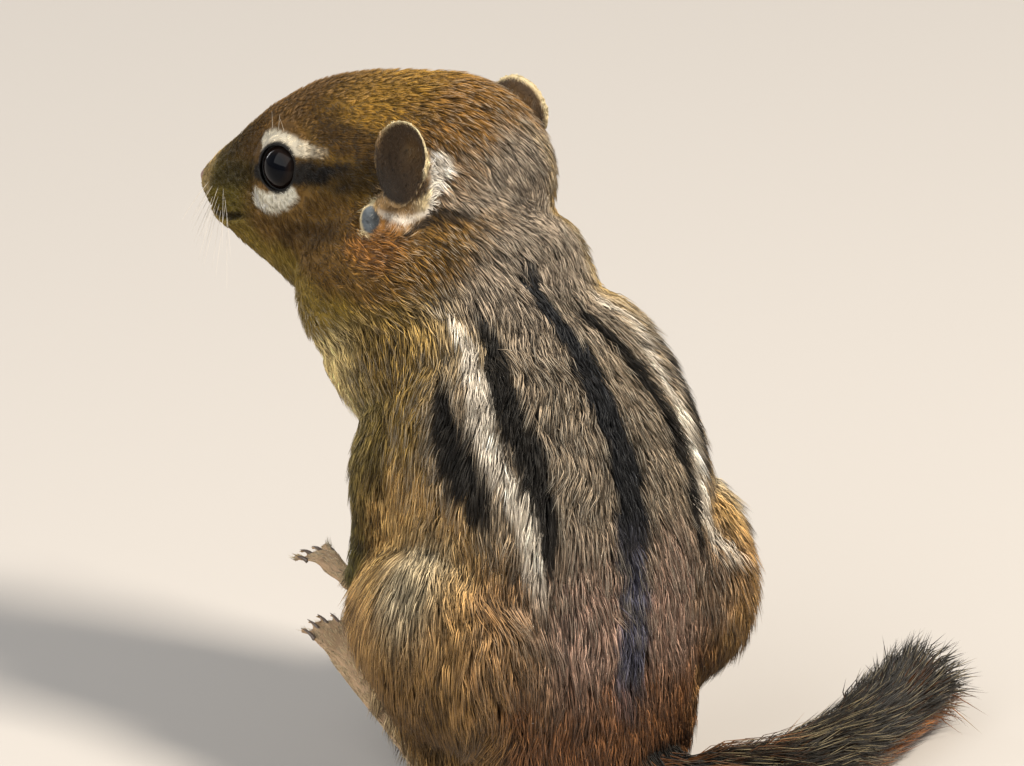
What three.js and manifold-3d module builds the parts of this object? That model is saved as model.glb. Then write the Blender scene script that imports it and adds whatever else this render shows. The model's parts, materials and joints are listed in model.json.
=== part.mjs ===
// A young striped chipmunk, life size, sitting up on the ground with its head turned to its left.
// Millimetres, +Z up. The animal's body faces -Y and its left side is +X.
// The origin is on the floor, under the middle of the seat.
import * as THREE from "three";
import { mergeVertices } from "three/addons/utils/BufferGeometryUtils.js";
import Module from "manifold-3d";

const wasm = await Module();
wasm.setup();

// Driving dimensions
const GAP = 0.3; // clearance that touching pieces keep
const FLOOR_REACH = 200; // side of the block that stands for the floor
const AROUND_BODY = 24; // facets round the trunk and head
const AROUND_LIMB = 12; // facets round a leg
const AROUND_DIGIT = 6; // facets round a toe
const DOME = [0.35, 0.72, 0.93]; // how far open the rings are that round off a limb's end

const SIDES = { left: 1, right: -1 };
const degrees = THREE.MathUtils.degToRad;
const at = (x, y, z) => new THREE.Vector3(x, y, z);

// The trunk, by height above the floor: how far it reaches back and front, and its half width.
// The first section is the flat that the animal sits on.
const TRUNK = [
  { at: 0, back: 7.6, front: -11.0, half: 10.0 },
  { at: 1.5, back: 9.7, front: -13.6, half: 12.6 },
  { at: 5, back: 11.4, front: -17.2, half: 14.6 },
  { at: 10, back: 12.6, front: -19.6, half: 15.8 },
  { at: 17, back: 13.5, front: -21.2, half: 16.4 },
  { at: 24, back: 13.9, front: -21.4, half: 16.8 },
  { at: 30, back: 13.6, front: -20.8, half: 17.0 },
  { at: 36, back: 12.3, front: -20.2, half: 16.8 },
  { at: 41, back: 10.0, front: -20.6, half: 15.8 },
  { at: 46, back: 6.2, front: -20.6, half: 14.2 },
  { at: 50, back: 2.2, front: -19.6, half: 11.4 },
  { at: 53, back: -2.5, front: -17.0, half: 7.0 },
];
const TRUNK_POWER = 2.25; // squareness of the trunk's sections; 2 is an ellipse
const TRUNK_RINGS = 18;

// The head, by distance back from the nose tip: heights above the nose tip, and half width.
const NOSE_TIP = at(13.2, -43.4, 55.5);
const HEAD_TURN = degrees(22); // to the animal's left
const HEAD_TILT = degrees(-3); // its right ear a little lower
const HEAD = [
  { at: 0.9, top: 2.4, bottom: -1.5, half: 2.1 }, // nose
  { at: 2.2, top: 3.8, bottom: -2.7, half: 3.1 },
  { at: 4.5, top: 5.9, bottom: -4.6, half: 4.2 }, // whisker pads
  { at: 7, top: 8.6, bottom: -6.0, half: 5.2 },
  { at: 10, top: 11.0, bottom: -7.3, half: 6.4 }, // stop
  { at: 14, top: 13.5, bottom: -9.4, half: 7.8 }, // eyes
  { at: 19, top: 15.1, bottom: -10.8, half: 9.4 }, // brow
  { at: 24.5, top: 16.1, bottom: -10.8, half: 10.2 }, // cheeks
  { at: 30.5, top: 16.5, bottom: -8.0, half: 10.1 }, // ears
  { at: 35, top: 14.9, bottom: -4.0, half: 8.8 },
  { at: 38, top: 12.2, bottom: 0.4, half: 6.4 }, // nape
  { at: 39.8, top: 9.2, bottom: 4.0, half: 2.8 },
];
const HEAD_POWER = 2.15;
const HEAD_WIDEST = 0.44; // share of the head's height at which it is widest
const HEAD_RINGS = 22;

// Nose and mouth, in the head's own directions from the nose tip
const NOSE = { back: 1.35, up: 0.5, long: 1.35, wide: 1.75, high: 1.35 };
const NOSTRIL = { out: 0.85, back: 0.35, up: 0.2, radius: 0.36, deep: 0.9 };
const MOUTH = [[1.5, -1.7], [3.4, -2.3], [5.6, -2.0], [8.0, -1.1]]; // back and up, corner last
const MOUTH_OPEN = 0.34;
const MOUTH_DEEP = 0.8;
const LIP = { radius: 0.5, drop: 0.55, inset: 0.25 };
const WHISKER_PAD = { out: 2.35, back: 4.3, up: -0.1, radius: 2.15 };

// The neck runs from the shoulders up and forward into the back of the head.
const NECK = [
  { centre: at(0.3, -8.5, 41.5), wide: 13.0, deep: 13.0 },
  { centre: at(2.2, -14.3, 47.5), wide: 14.0, deep: 15.1 },
  { centre: at(4.6, -17.8, 54.0), wide: 12.8, deep: 14.1 },
  { centre: at(5.4, -20.0, 60), wide: 8.8, deep: 8.6 },
];

// Eyes, in the head's own directions from the nose tip
const EYE_BACK = 14.1;
const EYE_OUT = 5.1;
const EYE_UP = 5.25;
const EYE_RADIUS = 3.1;
const EYE_OPENING = { wide: 2.2, high: 2.25 }; // half sizes between the lids
const LID_THICK = 0.35;
const EYE_FORWARD = degrees(8); // how far the gaze turns forward from straight sideways
const EYE_RAISED = degrees(7);

// Ears
const EAR_BACK = 30.3;
const EAR_OUT = 10.95;
const EAR_UP = 10.1;
const EAR_FACING = { forward: 0.04, out: 0.98, up: 0.12 };
const EAR = { half: 3.5, top: 4.2, bottom: 4.9, cup: 1.7, thin: 0.5, thick: 1.2, curl: 0.3 };
const EAR_LOBE = { out: 10.5, back: 27.3, up: 4.1, radius: 1.6 }; // the fold below its front edge

// Front legs: shoulder, elbow and wrist as centres, then the paw
const ARM = {
  left: [[9.2, -11.5, 42], [13.2, -10.6, 35], [13.6, -11.2, 29], [13.4, -14.6, 23], [13, -17.3, 20.1]],
  right: [[-9.2, -11.5, 41], [-12.6, -11.8, 34], [-12.8, -13, 28], [-11.4, -18.2, 23.2], [-10.4, -21.4, 21]],
};
for (const name of Object.keys(ARM)) ARM[name] = ARM[name].map((place) => at(...place));
const ARM_RADII = [5.6, 4.8, 3.9, 2.4, 1.7];
const FOREPAW_HEADING = { left: at(0.1, -0.95, 0.3), right: at(0.18, -0.95, 0.2) };
const FOREPAW = { long: 3.3, wide: 1.75, thick: 1.05, digits: 4, digit: 3.0, radius: 0.52, claw: 1.3 };

// Hind legs: thigh from hip to knee, then the foot from heel to toes
const THIGH = {
  left: [at(12.6, 5.6, 17.6), at(13.2, -2.4, 20.2), at(13.8, -9.8, 19.8)],
  right: [at(-12.2, 6.6, 20.2), at(-12.8, -0.6, 22.4), at(-13.6, -8.6, 20.4)],
};
const THIGH_RADII = [6.6, 8.2, 5.2];
const THIGH_HIGH = 1.48; // its height over its width
const THIGH_CAP = 0.8; // how far its rounded ends reach
const HEEL = { left: at(12.6, -1.5, 1.15), right: at(-12.4, -1.0, 1.3) };
const TOES = { left: at(13.8, -19.2, 13.7), right: at(-14.5, -18.5, 1.05) };
const HINDFOOT = { long: 19.5, wide: 2.5, thick: 1.5, digits: 5, digit: 4.2, radius: 0.7, claw: 1.5 };

// Tail: its middle line out to the tip of the brush, and the brush's radius along it
const TAIL = [
  at(0, 6.0, 6.2), at(-3.4, 10.2, 4.9), at(-8.0, 12.9, 4.3), at(-13.2, 16.6, 4.1), at(-21.4, 16.3, 4.2),
  at(-31.0, 10.9, 4.5), at(-39.6, 6.1, 5.0), at(-45.4, 2.8, 5.6),
];
const BRUSH = [3.2, 3.6, 3.9, 4.1, 4.3, 4.4, 4.2, 2.6];
const TAIL_CORE = 0.46; // radius of flesh and underfur, as a share of the brush's
const TAIL_BONE_END = 0.86; // share of the way along at which the flesh ends
const TAIL_PARTED = at(-19.5, 16.6, 0); // where its two lengths meet
const LOCKS = { rows: 10, around: 6, long: 10.8, wide: 2.9, thick: 0.85, spread: 0.35 };
const LOCKS_FROM = 0.1; // shares of the way along at which the first and last row are rooted
const LOCKS_TO = 0.85;
const SEED = 7;

const COLOURS = {
  coat: 0x8a6a44,
  paleCoat: 0xb59a6f,
  skin: 0x6b5142,
  eye: 0x0c0d12,
  claw: 0x4a3b30,
  tail: 0x4e4030,
};
const material = (color, roughness) => new THREE.MeshStandardMaterial({ color, roughness, metalness: 0 });
const MATERIALS = {
  coat: material(COLOURS.coat, 0.85),
  paws: material(COLOURS.paleCoat, 0.8),
  ears: material(COLOURS.skin, 0.7),
  nose: material(COLOURS.skin, 0.55),
  eyes: material(COLOURS.eye, 0.08),
  claws: material(COLOURS.claw, 0.4),
  tail: material(COLOURS.tail, 0.9),
};

// A closed three.js geometry as a solid that can be cut and joined.
function solidOf(geometry) {
  const bare = new THREE.BufferGeometry().setAttribute("position", geometry.getAttribute("position").clone());
  if (geometry.index) bare.setIndex(geometry.index.clone());
  const merged = mergeVertices(bare, 1e-5);
  return new wasm.Manifold(
    new wasm.Mesh({
      numProp: 3,
      vertProperties: new Float32Array(merged.attributes.position.array),
      triVerts: new Uint32Array(merged.index.array),
    }),
  );
}

// The largest closed body of a solid, so that cutting leaves no scraps.
function largest(solid) {
  return solid.decompose().reduce((best, body) => (body.volume() > best.volume() ? body : best));
}

// A solid as a named mesh, placed in a group that may be moved and turned.
function addNode(group, name, solid, finish) {
  const made = largest(solid).getMesh();
  const positions = new Float32Array(made.numVert * 3);
  for (let i = 0; i < made.numVert; i++)
    positions.set(made.vertProperties.subarray(i * made.numProp, i * made.numProp + 3), i * 3);
  const geometry = new THREE.BufferGeometry()
    .setAttribute("position", new THREE.BufferAttribute(positions, 3))
    .setIndex(new THREE.BufferAttribute(new Uint32Array(made.triVerts), 1));
  group.updateWorldMatrix(true, false);
  geometry.applyMatrix4(group.matrixWorld.clone().invert());
  geometry.computeVertexNormals();
  const mesh = new THREE.Mesh(geometry, finish);
  mesh.name = name;
  group.add(mesh);
  return mesh;
}

// A closed skin over rings of points; each end is closed by a point in its ring's middle.
function skinOver(rings) {
  const around = rings[0].length;
  const middle = (ring) => ring.reduce((sum, p) => sum.add(p), at(0, 0, 0)).divideScalar(ring.length);
  const points = [...rings.flat(), middle(rings[0]), middle(rings.at(-1))];
  const start = points.length - 2;
  const index = [];
  for (let r = 0; r < rings.length - 1; r++)
    for (let k = 0; k < around; k++) {
      const a = r * around + k;
      const b = r * around + ((k + 1) % around);
      index.push(a, b, a + around, b, b + around, a + around);
    }
  const last = (rings.length - 1) * around;
  for (let k = 0; k < around; k++) {
    index.push(start, (k + 1) % around, k);
    index.push(start + 1, last + k, last + ((k + 1) % around));
  }
  const geometry = new THREE.BufferGeometry().setFromPoints(points).setIndex(index);
  const solid = solidOf(geometry);
  if (solid.volume() > 0) return solid;
  for (let i = 0; i < index.length; i += 3) [index[i + 1], index[i + 2]] = [index[i + 2], index[i + 1]];
  return solidOf(geometry.setIndex(index));
}

// One rounded section: half sizes along side, up and down, with a chosen squareness.
function section(centre, side, up, { wide, top, bottom }, power, around) {
  return Array.from({ length: around }, (_, k) => {
    const angle = (k / around) * 2 * Math.PI;
    const shape = (v) => Math.sign(v) * Math.abs(v) ** (2 / power);
    const c = shape(Math.cos(angle));
    const s = shape(Math.sin(angle));
    return centre
      .clone()
      .addScaledVector(side, c * wide)
      .addScaledVector(up, s * (s > 0 ? top : bottom));
  });
}

// A size read smoothly between the rows of a table, which are in order of their field "at".
function between(rows, field, where) {
  let i = rows.findIndex((row) => row.at >= where);
  i = Math.min(Math.max(i, 1), rows.length - 1);
  const [a, b] = [rows[i - 1], rows[i]];
  const slope = (j) => {
    const [p, q] = [rows[Math.max(j - 1, 0)], rows[Math.min(j + 1, rows.length - 1)]];
    return (q[field] - p[field]) / (q.at - p.at);
  };
  const span = b.at - a.at;
  const t = THREE.MathUtils.clamp((where - a.at) / span, 0, 1);
  const h = [2 * t ** 3 - 3 * t ** 2 + 1, t ** 3 - 2 * t ** 2 + t, -2 * t ** 3 + 3 * t ** 2, t ** 3 - t ** 2];
  return h[0] * a[field] + h[1] * span * slope(i - 1) + h[2] * b[field] + h[3] * span * slope(i);
}

// Places from first to last, set closer together towards both ends, where a form rounds off.
const spaced = (first, last, count) =>
  Array.from({ length: count }, (_, i) => {
    const share = (1 - Math.cos((Math.PI * i) / (count - 1))) / 2;
    return first + (last - first) * share;
  });

// A rounded limb through centres, with a radius for each. Its sections are flat times as high as wide,
// its ends bulge by cap times their radius, and side says which way its width lies.
const LIMB = { around: AROUND_LIMB, rings: 9, grow: 0, flat: 1, dome: DOME, side: at(1, 0, 0) };
function limb(centres, radii, options = {}) {
  const { around, rings, grow, flat, dome, side, cap = flat } = { ...LIMB, ...options };
  const path = new THREE.CatmullRomCurve3(centres, false, "centripetal");
  const rows = radii.map((radius, i) => ({ at: i / (radii.length - 1), radius }));
  const sections = [];
  const ring = (t, reach, share) => {
    const along = path.getTangent(t);
    const up = new THREE.Vector3().crossVectors(along, side).normalize();
    const across = new THREE.Vector3().crossVectors(up, along).normalize();
    const radius = (between(rows, "radius", t) + grow) * share;
    const centre = path.getPoint(t).addScaledVector(along, reach);
    const sizes = { wide: radius, top: radius * flat, bottom: radius * flat };
    sections.push(section(centre, across, up, sizes, 2, around));
  };
  for (const open of dome) ring(0, -(radii[0] + grow) * cap * Math.sqrt(1 - open ** 2), open);
  for (let i = 0; i < rings; i++) ring(i / (rings - 1), 0, 1);
  for (const open of dome.toReversed()) ring(1, (radii.at(-1) + grow) * cap * Math.sqrt(1 - open ** 2), open);
  return skinOver(sections);
}

function trunk(grow = 0) {
  const side = at(1, 0, 0);
  const back = at(0, 1, 0);
  const rings = spaced(TRUNK[0].at, TRUNK.at(-1).at, TRUNK_RINGS).map((height) => {
    const behind = between(TRUNK, "back", height);
    const ahead = between(TRUNK, "front", height);
    const half = between(TRUNK, "half", height);
    const deep = (behind - ahead) / 2 + grow;
    const lift = height === TRUNK.at(-1).at ? grow : 0;
    const sizes = { wide: half + grow, top: deep, bottom: deep };
    return section(at(0, (behind + ahead) / 2, height + lift), side, back, sizes, TRUNK_POWER, AROUND_BODY);
  });
  return skinOver(rings);
}

const headMatrix = new THREE.Matrix4()
  .makeRotationZ(HEAD_TURN)
  .multiply(new THREE.Matrix4().makeRotationY(HEAD_TILT))
  .setPosition(NOSE_TIP);
const inHead = (out, back, up) => at(out, back, up).applyMatrix4(headMatrix);
const headDirection = (out, back, up) => at(out, back, up).transformDirection(headMatrix);

function headSection(back, grow = 0) {
  const top = between(HEAD, "top", back) + grow;
  const bottom = between(HEAD, "bottom", back) - grow;
  const half = between(HEAD, "half", back) + grow;
  const middle = bottom + (top - bottom) * HEAD_WIDEST;
  return { centre: inHead(0, back, middle), wide: half, top: top - middle, bottom: middle - bottom };
}

function headForm(grow = 0) {
  const side = headDirection(1, 0, 0);
  const up = headDirection(0, 0, 1);
  const rings = spaced(HEAD[0].at, HEAD.at(-1).at, HEAD_RINGS).map((back) => {
    const sizes = headSection(back, grow);
    if (back === HEAD[0].at) sizes.centre.addScaledVector(headDirection(0, 1, 0), -grow);
    if (back === HEAD.at(-1).at) sizes.centre.addScaledVector(headDirection(0, 1, 0), grow);
    return section(sizes.centre, side, up, sizes, HEAD_POWER, AROUND_BODY);
  });
  return skinOver(rings);
}

function neckForm(grow = 0) {
  const rows = NECK.map(({ wide, deep }, i) => ({ at: i / (NECK.length - 1), wide, deep }));
  const path = new THREE.CatmullRomCurve3(NECK.map(({ centre }) => centre));
  const side = headDirection(1, 0, 0);
  const count = 12;
  const rings = Array.from({ length: count }, (_, i) => {
    const t = i / (count - 1);
    const along = path.getTangent(t);
    const up = new THREE.Vector3().crossVectors(along, side).normalize();
    const deep = between(rows, "deep", t) + grow;
    const sizes = { wide: between(rows, "wide", t) + grow, top: deep, bottom: deep };
    return section(path.getPoint(t), side, up, sizes, 2, AROUND_BODY);
  });
  return skinOver(rings);
}

function ball(centre, radius, around = 20) {
  const geometry = new THREE.SphereGeometry(radius, around, around * 0.6);
  return solidOf(geometry.translate(centre.x, centre.y, centre.z));
}

const floorBlock = solidOf(new THREE.BoxGeometry(FLOOR_REACH, FLOOR_REACH, 20).translate(0, 0, -10));

// An ear as a thin cup: an egg-shaped outline, deepest in the middle, its rear rim curled outwards.
function earForm(sign, grow = 0) {
  const centre = inHead(sign * EAR_OUT, EAR_BACK, EAR_UP);
  const facing = headDirection(sign * EAR_FACING.out, -EAR_FACING.forward, EAR_FACING.up);
  const rear = headDirection(0, 1, 0).projectOnPlane(facing).normalize();
  const up = new THREE.Vector3().crossVectors(facing, rear).multiplyScalar(sign).normalize();
  if (up.z < 0) up.negate();
  const around = 18;
  const steps = [0, 0.3, 0.55, 0.78, 0.93, 1];
  const ring = (share, behind) =>
    Array.from({ length: around }, (_, k) => {
      const angle = (k / around) * 2 * Math.PI;
      const c = Math.cos(angle);
      const s = Math.sin(angle);
      const half = (EAR.half + grow) * (s > 0 ? 1 : 1 + 0.28 * s);
      const high = (s > 0 ? EAR.top : EAR.bottom) + grow;
      const deep = EAR.cup * (1 - share ** 2) - EAR.curl * Math.max(0, c) * share ** 4;
      const wall = behind ? THREE.MathUtils.lerp(EAR.thick, EAR.thin, share ** 2) + grow : -grow;
      return centre
        .clone()
        .addScaledVector(rear, c * half * share)
        .addScaledVector(up, s * high * share)
        .addScaledVector(facing, -deep - wall);
    });
  const inner = steps.slice(1).map((share) => ring(share, false));
  const outer = steps.slice(1).toReversed().map((share) => ring(share, true));
  const cup = skinOver([...inner, ...outer]);
  const root = limb(
    [inHead(sign * 7.8, EAR_BACK - 1.2, 4.4), inHead(sign * (EAR_OUT - 3.2), EAR_BACK - 0.3, EAR_UP - 2)],
    [2.4, 1.1],
    { around: 10, rings: 4, grow },
  );
  const notch = inHead(sign * (EAR_OUT - 1), EAR_BACK - 0.9, EAR_UP - EAR.bottom + 1.1);
  const fold = inHead(sign * EAR_LOBE.out, EAR_LOBE.back, EAR_LOBE.up);
  const lobe = limb([notch, fold], [1.2, EAR_LOBE.radius], { around: 10, rings: 3, grow });
  return cup.add(root).add(lobe);
}

function eyeAxis(sign) {
  return headDirection(
    sign * Math.cos(EYE_FORWARD) * Math.cos(EYE_RAISED),
    -Math.sin(EYE_FORWARD) * Math.cos(EYE_RAISED),
    Math.sin(EYE_RAISED),
  );
}
const eyeCentre = (sign) => inHead(sign * EYE_OUT, EYE_BACK, EYE_UP);

// Lids: a thin shell over the eyeball, open where the eye looks out.
function lids(sign) {
  const centre = eyeCentre(sign);
  const axis = eyeAxis(sign);
  const up = headDirection(0, 0, 1).projectOnPlane(axis).normalize();
  const along = new THREE.Vector3().crossVectors(up, axis).normalize();
  const rim = [0, 1, 2].map((i) => {
    const wide = EYE_OPENING.wide * (0.7 + 0.24 * i);
    const high = EYE_OPENING.high * (0.7 + 0.24 * i);
    const sizes = { wide, top: high, bottom: high };
    return section(centre.clone().addScaledVector(axis, i * 2.5), along, up, sizes, 2, 20);
  });
  return { shell: ball(centre, EYE_RADIUS + GAP + LID_THICK, 18), opening: skinOver(rim) };
}

// How far out the head's surface lies at a distance back and a height.
function headSurface(back, up) {
  const { wide, top, bottom } = headSection(back);
  const middle = between(HEAD, "bottom", back) + bottom;
  const share = Math.min(Math.abs(up - middle) / (up > middle ? top : bottom), 0.98);
  return wide * (1 - share ** HEAD_POWER) ** (1 / HEAD_POWER);
}

// The groove between the lips, only as deep as MOUTH_DEEP all round the muzzle.
function mouthGroove() {
  const line = new THREE.SplineCurve(MOUTH.map(([back, up]) => new THREE.Vector2(back, up))).getPoints(8);
  line.unshift(new THREE.Vector2(-1, MOUTH[0][1]));
  const half = (p, i) => (MOUTH_OPEN / 2) * (i === line.length - 1 ? 0.3 : 1);
  const upper = line.map((p, i) => new THREE.Vector2(p.x, p.y + half(p, i)));
  const lower = line.map((p, i) => new THREE.Vector2(p.x, p.y - half(p, i))).reverse();
  const wide = 16;
  const profile = new THREE.Shape([...upper, ...lower]);
  const plate = new THREE.ExtrudeGeometry(profile, { depth: wide, bevelEnabled: false });
  // The profile is drawn with back along X and up along Y; it is turned to lie across the head.
  plate.translate(0, 0, -wide / 2);
  plate.applyMatrix4(new THREE.Matrix4().makeBasis(at(0, 1, 0), at(0, 0, 1), at(1, 0, 0)));
  plate.applyMatrix4(headMatrix);
  return solidOf(plate).subtract(headForm(-MOUTH_DEEP));
}

// The lower lip runs from corner to corner, just under the groove.
function lowerLip() {
  const half = MOUTH.toReversed().map(([back, up]) => {
    const low = up - LIP.drop;
    return { back, low, out: headSurface(back, low) - LIP.inset };
  });
  const left = half.map(({ back, low, out }) => inHead(out, back, low));
  const right = half.map(({ back, low, out }) => inHead(-out, back, low)).reverse();
  const radii = Array.from({ length: 9 }, (_, i) => LIP.radius * (i === 0 || i === 8 ? 0.6 : 1));
  const path = [...left, ...right];
  return limb(path, radii, { around: 6, rings: 17, side: at(0, 0, 1) });
}

function noseForm(grow = 0) {
  const geometry = new THREE.SphereGeometry(1, 12, 8);
  geometry.scale(NOSE.wide + grow, NOSE.long + grow, NOSE.high + grow);
  geometry.translate(0, NOSE.back, NOSE.up);
  return solidOf(geometry.applyMatrix4(headMatrix));
}

// A nostril: a short slanting hole, entered from the front and side.
function nostril(sign) {
  const mouth = inHead(sign * (NOSTRIL.out + 0.4), NOSTRIL.back - 0.5, NOSTRIL.up);
  const end = inHead(sign * (NOSTRIL.out - 0.1), NOSTRIL.back + NOSTRIL.deep, NOSTRIL.up + 0.25);
  const radii = [NOSTRIL.radius * 1.2, NOSTRIL.radius * 0.8];
  return limb([mouth, end], radii, { around: 6, rings: 2, dome: [0.7], side: at(0, 0, 1) });
}

// A paw: its palm, then digits that spread, bend and end in claws.
function paw(wrist, heading, sizes, { spread = 0.26, curl = 0.35, grow = 0 } = {}) {
  const forward = heading.clone().normalize();
  const side = new THREE.Vector3().crossVectors(forward, at(0, 0, 1)).normalize();
  const up = new THREE.Vector3().crossVectors(side, forward).normalize();
  const knuckles = wrist.clone().addScaledVector(forward, sizes.long);
  const flat = sizes.thick / sizes.wide;
  let made = limb(
    [wrist, wrist.clone().lerp(knuckles, 0.5), knuckles],
    [sizes.wide * 0.8, sizes.wide * 0.92, sizes.wide],
    { around: 10, rings: 4, grow, flat, side },
  );
  for (let i = 0; i < sizes.digits; i++) {
    const share = (i / (sizes.digits - 1)) * 2 - 1;
    const long = sizes.digit * (1 - 0.22 * share ** 2);
    const aim = forward.clone().addScaledVector(side, share * spread).normalize();
    const place = (along, lift) =>
      knuckles
        .clone()
        .addScaledVector(side, share * (sizes.wide - sizes.radius))
        .addScaledVector(aim, along)
        .addScaledVector(up, lift);
    const path = [
      place(-0.6, 0),
      place(long * 0.55, 0.32),
      place(long, -curl),
      place(long + sizes.claw * 0.5, -curl - 0.05),
      place(long + sizes.claw, -curl - 0.45),
    ];
    const r = sizes.radius;
    const radii = [r, r, r * 0.9, r * 0.5, r * 0.22];
    made = made.add(limb(path, radii, { around: AROUND_DIGIT, rings: 6, grow, dome: [0.7], side }));
  }
  return made;
}

// A repeatable draw between 0 and 1.
function drawsFrom(seed) {
  let state = seed;
  return () => {
    state = (state * 1664525 + 1013904223) % 4294967296;
    return state / 4294967296;
  };
}

const tailLine = new THREE.CatmullRomCurve3(TAIL, false, "centripetal");
const brushRows = BRUSH.map((radius, i) => ({ at: i / (BRUSH.length - 1), radius }));

// A place round the tail: how far along, at what angle and how far out. Past the tip it runs straight on.
function roundTail(along, angle, out) {
  const t = Math.min(along, 1);
  const forward = tailLine.getTangent(t);
  const up = new THREE.Vector3().crossVectors(forward, at(0, 0, 1)).normalize();
  const across = new THREE.Vector3().crossVectors(up, forward).normalize();
  const outward = across.multiplyScalar(Math.cos(angle)).addScaledVector(up, Math.sin(angle));
  const overrun = (along - t) * tailLine.getLength();
  const point = tailLine.getPoint(t).addScaledVector(forward, overrun).addScaledVector(outward, out);
  return { point, outward };
}

// A flat tapered lock of hair: rooted in the core, it leans out and then lies along the tail.
function lock(along, angle, long, wide) {
  const reach = long / tailLine.getLength();
  const stations = [
    { on: 0, rise: 0, broad: 0.7, thick: 1 },
    { on: 0.35, rise: 0.62, broad: 1, thick: 0.9 },
    { on: 0.7, rise: 0.9, broad: 0.78, thick: 0.75 },
    { on: 1, rise: 1, broad: 0.1, thick: 0.2 },
  ];
  const rings = stations.map(({ on, rise, broad, thick }) => {
    const where = along + on * reach;
    const hair = between(brushRows, "radius", Math.min(where, 1)) - (LOCKS.thick * thick) / 2;
    const core = between(brushRows, "radius", along) * TAIL_CORE - LOCKS.thick;
    const { point, outward } = roundTail(where, angle, core + (hair - core) * rise);
    const forward = tailLine.getTangent(Math.min(where, 1));
    const across = new THREE.Vector3().crossVectors(outward, forward).normalize();
    const half = (LOCKS.thick * thick) / 2;
    return section(point, across, outward, { wide: (wide * broad) / 2, top: half, bottom: half }, 2, 4);
  });
  return skinOver(rings);
}

function tailWithLocks() {
  const steps = 8;
  const along = Array.from({ length: steps }, (_, i) => (TAIL_BONE_END * i) / (steps - 1));
  const centres = along.map((share) => tailLine.getPoint(share));
  const radii = along.map((share) => between(brushRows, "radius", share) * TAIL_CORE);
  let whole = limb(centres, radii, { around: 9, rings: 14, side: at(0, 0, 1), dome: [0.7] });
  const draw = drawsFrom(SEED);
  for (let row = 0; row < LOCKS.rows; row++) {
    const root = THREE.MathUtils.lerp(LOCKS_FROM, LOCKS_TO, row / (LOCKS.rows - 1));
    for (let k = 0; k < LOCKS.around; k++) {
      const turn = (k + (row % 2) / 2 + LOCKS.spread * (draw() - 0.5)) / LOCKS.around;
      const long = LOCKS.long * (0.85 + 0.3 * draw());
      const wide = LOCKS.wide * (0.85 + 0.3 * draw());
      whole = whole.add(lock(root + 0.02 * (draw() - 0.5), turn * 2 * Math.PI, long, wide));
    }
  }
  return whole;
}

// All space on the far side of the tail's parting.
function beyondParting(shift) {
  const block = new THREE.BoxGeometry(FLOOR_REACH, FLOOR_REACH, FLOOR_REACH);
  const centre = at(TAIL_PARTED.x - shift - FLOOR_REACH / 2, TAIL_PARTED.y, TAIL_PARTED.z);
  return solidOf(block.translate(centre.x, centre.y, centre.z));
}

// Build
const animal = new THREE.Group();
const head = new THREE.Group();
head.position.copy(NOSE_TIP);
head.rotation.set(0, HEAD_TILT, HEAD_TURN, "ZYX");
animal.add(head);

const trunkGrown = trunk(GAP);
const headGrown = headForm(GAP);
const neckGrown = neckForm(GAP);
addNode(animal, "torso", trunk().subtract(floorBlock), MATERIALS.coat);

let headCut = headForm().add(lowerLip());
for (const sign of Object.values(SIDES)) {
  headCut = headCut
    .add(lids(sign).shell)
    .add(ball(inHead(sign * WHISKER_PAD.out, WHISKER_PAD.back, WHISKER_PAD.up), WHISKER_PAD.radius, 14));
}
headCut = headCut.subtract(mouthGroove()).subtract(noseForm(GAP)).subtract(trunkGrown);
for (const sign of Object.values(SIDES)) {
  headCut = headCut.subtract(lids(sign).opening).subtract(ball(eyeCentre(sign), EYE_RADIUS + GAP, 18));
}
addNode(head, "head", headCut, MATERIALS.coat);
const nose = Object.values(SIDES).reduce((solid, sign) => solid.subtract(nostril(sign)), noseForm());
addNode(head, "nose", nose, MATERIALS.nose);
addNode(animal, "neck", neckForm().subtract(trunkGrown).subtract(headGrown), MATERIALS.coat);

for (const [name, sign] of Object.entries(SIDES)) {
  addNode(head, `eye_${name}`, ball(eyeCentre(sign), EYE_RADIUS, 16), MATERIALS.eyes);
  addNode(head, `ear_${name}`, earForm(sign).subtract(headGrown).subtract(neckGrown), MATERIALS.ears);

  const armGrown = limb(ARM[name], ARM_RADII, { grow: GAP });
  const thighShape = { around: 20, rings: 9, flat: THIGH_HIGH, cap: THIGH_CAP };
  const thighGrown = limb(THIGH[name], THIGH_RADII, { ...thighShape, grow: GAP });
  const body = trunkGrown.add(neckGrown).add(headGrown);
  const arm = limb(ARM[name], ARM_RADII).subtract(body).subtract(thighGrown);
  addNode(animal, `foreleg_${name}`, arm, MATERIALS.coat);
  const hand = paw(ARM[name].at(-1), FOREPAW_HEADING[name], FOREPAW);
  addNode(animal, `forepaw_${name}`, hand.subtract(armGrown).subtract(trunkGrown), MATERIALS.paws);

  const thigh = limb(THIGH[name], THIGH_RADII, thighShape);
  addNode(animal, `haunch_${name}`, thigh.subtract(trunkGrown).subtract(floorBlock), MATERIALS.coat);
  const heading = TOES[name].clone().sub(HEEL[name]);
  const foot = paw(HEEL[name], heading, HINDFOOT, { curl: 0.1, spread: 0.2 });
  addNode(
    animal,
    `hindfoot_${name}`,
    foot.subtract(thighGrown).subtract(trunkGrown).subtract(floorBlock),
    MATERIALS.paws,
  );
}

const brush = tailWithLocks().subtract(trunkGrown).subtract(floorBlock);
addNode(animal, "tail_base", brush.subtract(beyondParting(-GAP / 2)), MATERIALS.tail);
addNode(animal, "tail_end", brush.intersect(beyondParting(GAP / 2)), MATERIALS.tail);

export default animal;
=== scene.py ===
# %% [markdown]
# # A young striped chipmunk, sitting up
#
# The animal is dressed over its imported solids: one skin, bare eyes, nose, claws and whiskers, and a
# coat of small solid tufts that carries the stripes. Everything is in metres, in the solids' own frame:
# the body faces -Y, its left side is +X, and the origin is on the floor under the seat.

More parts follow.
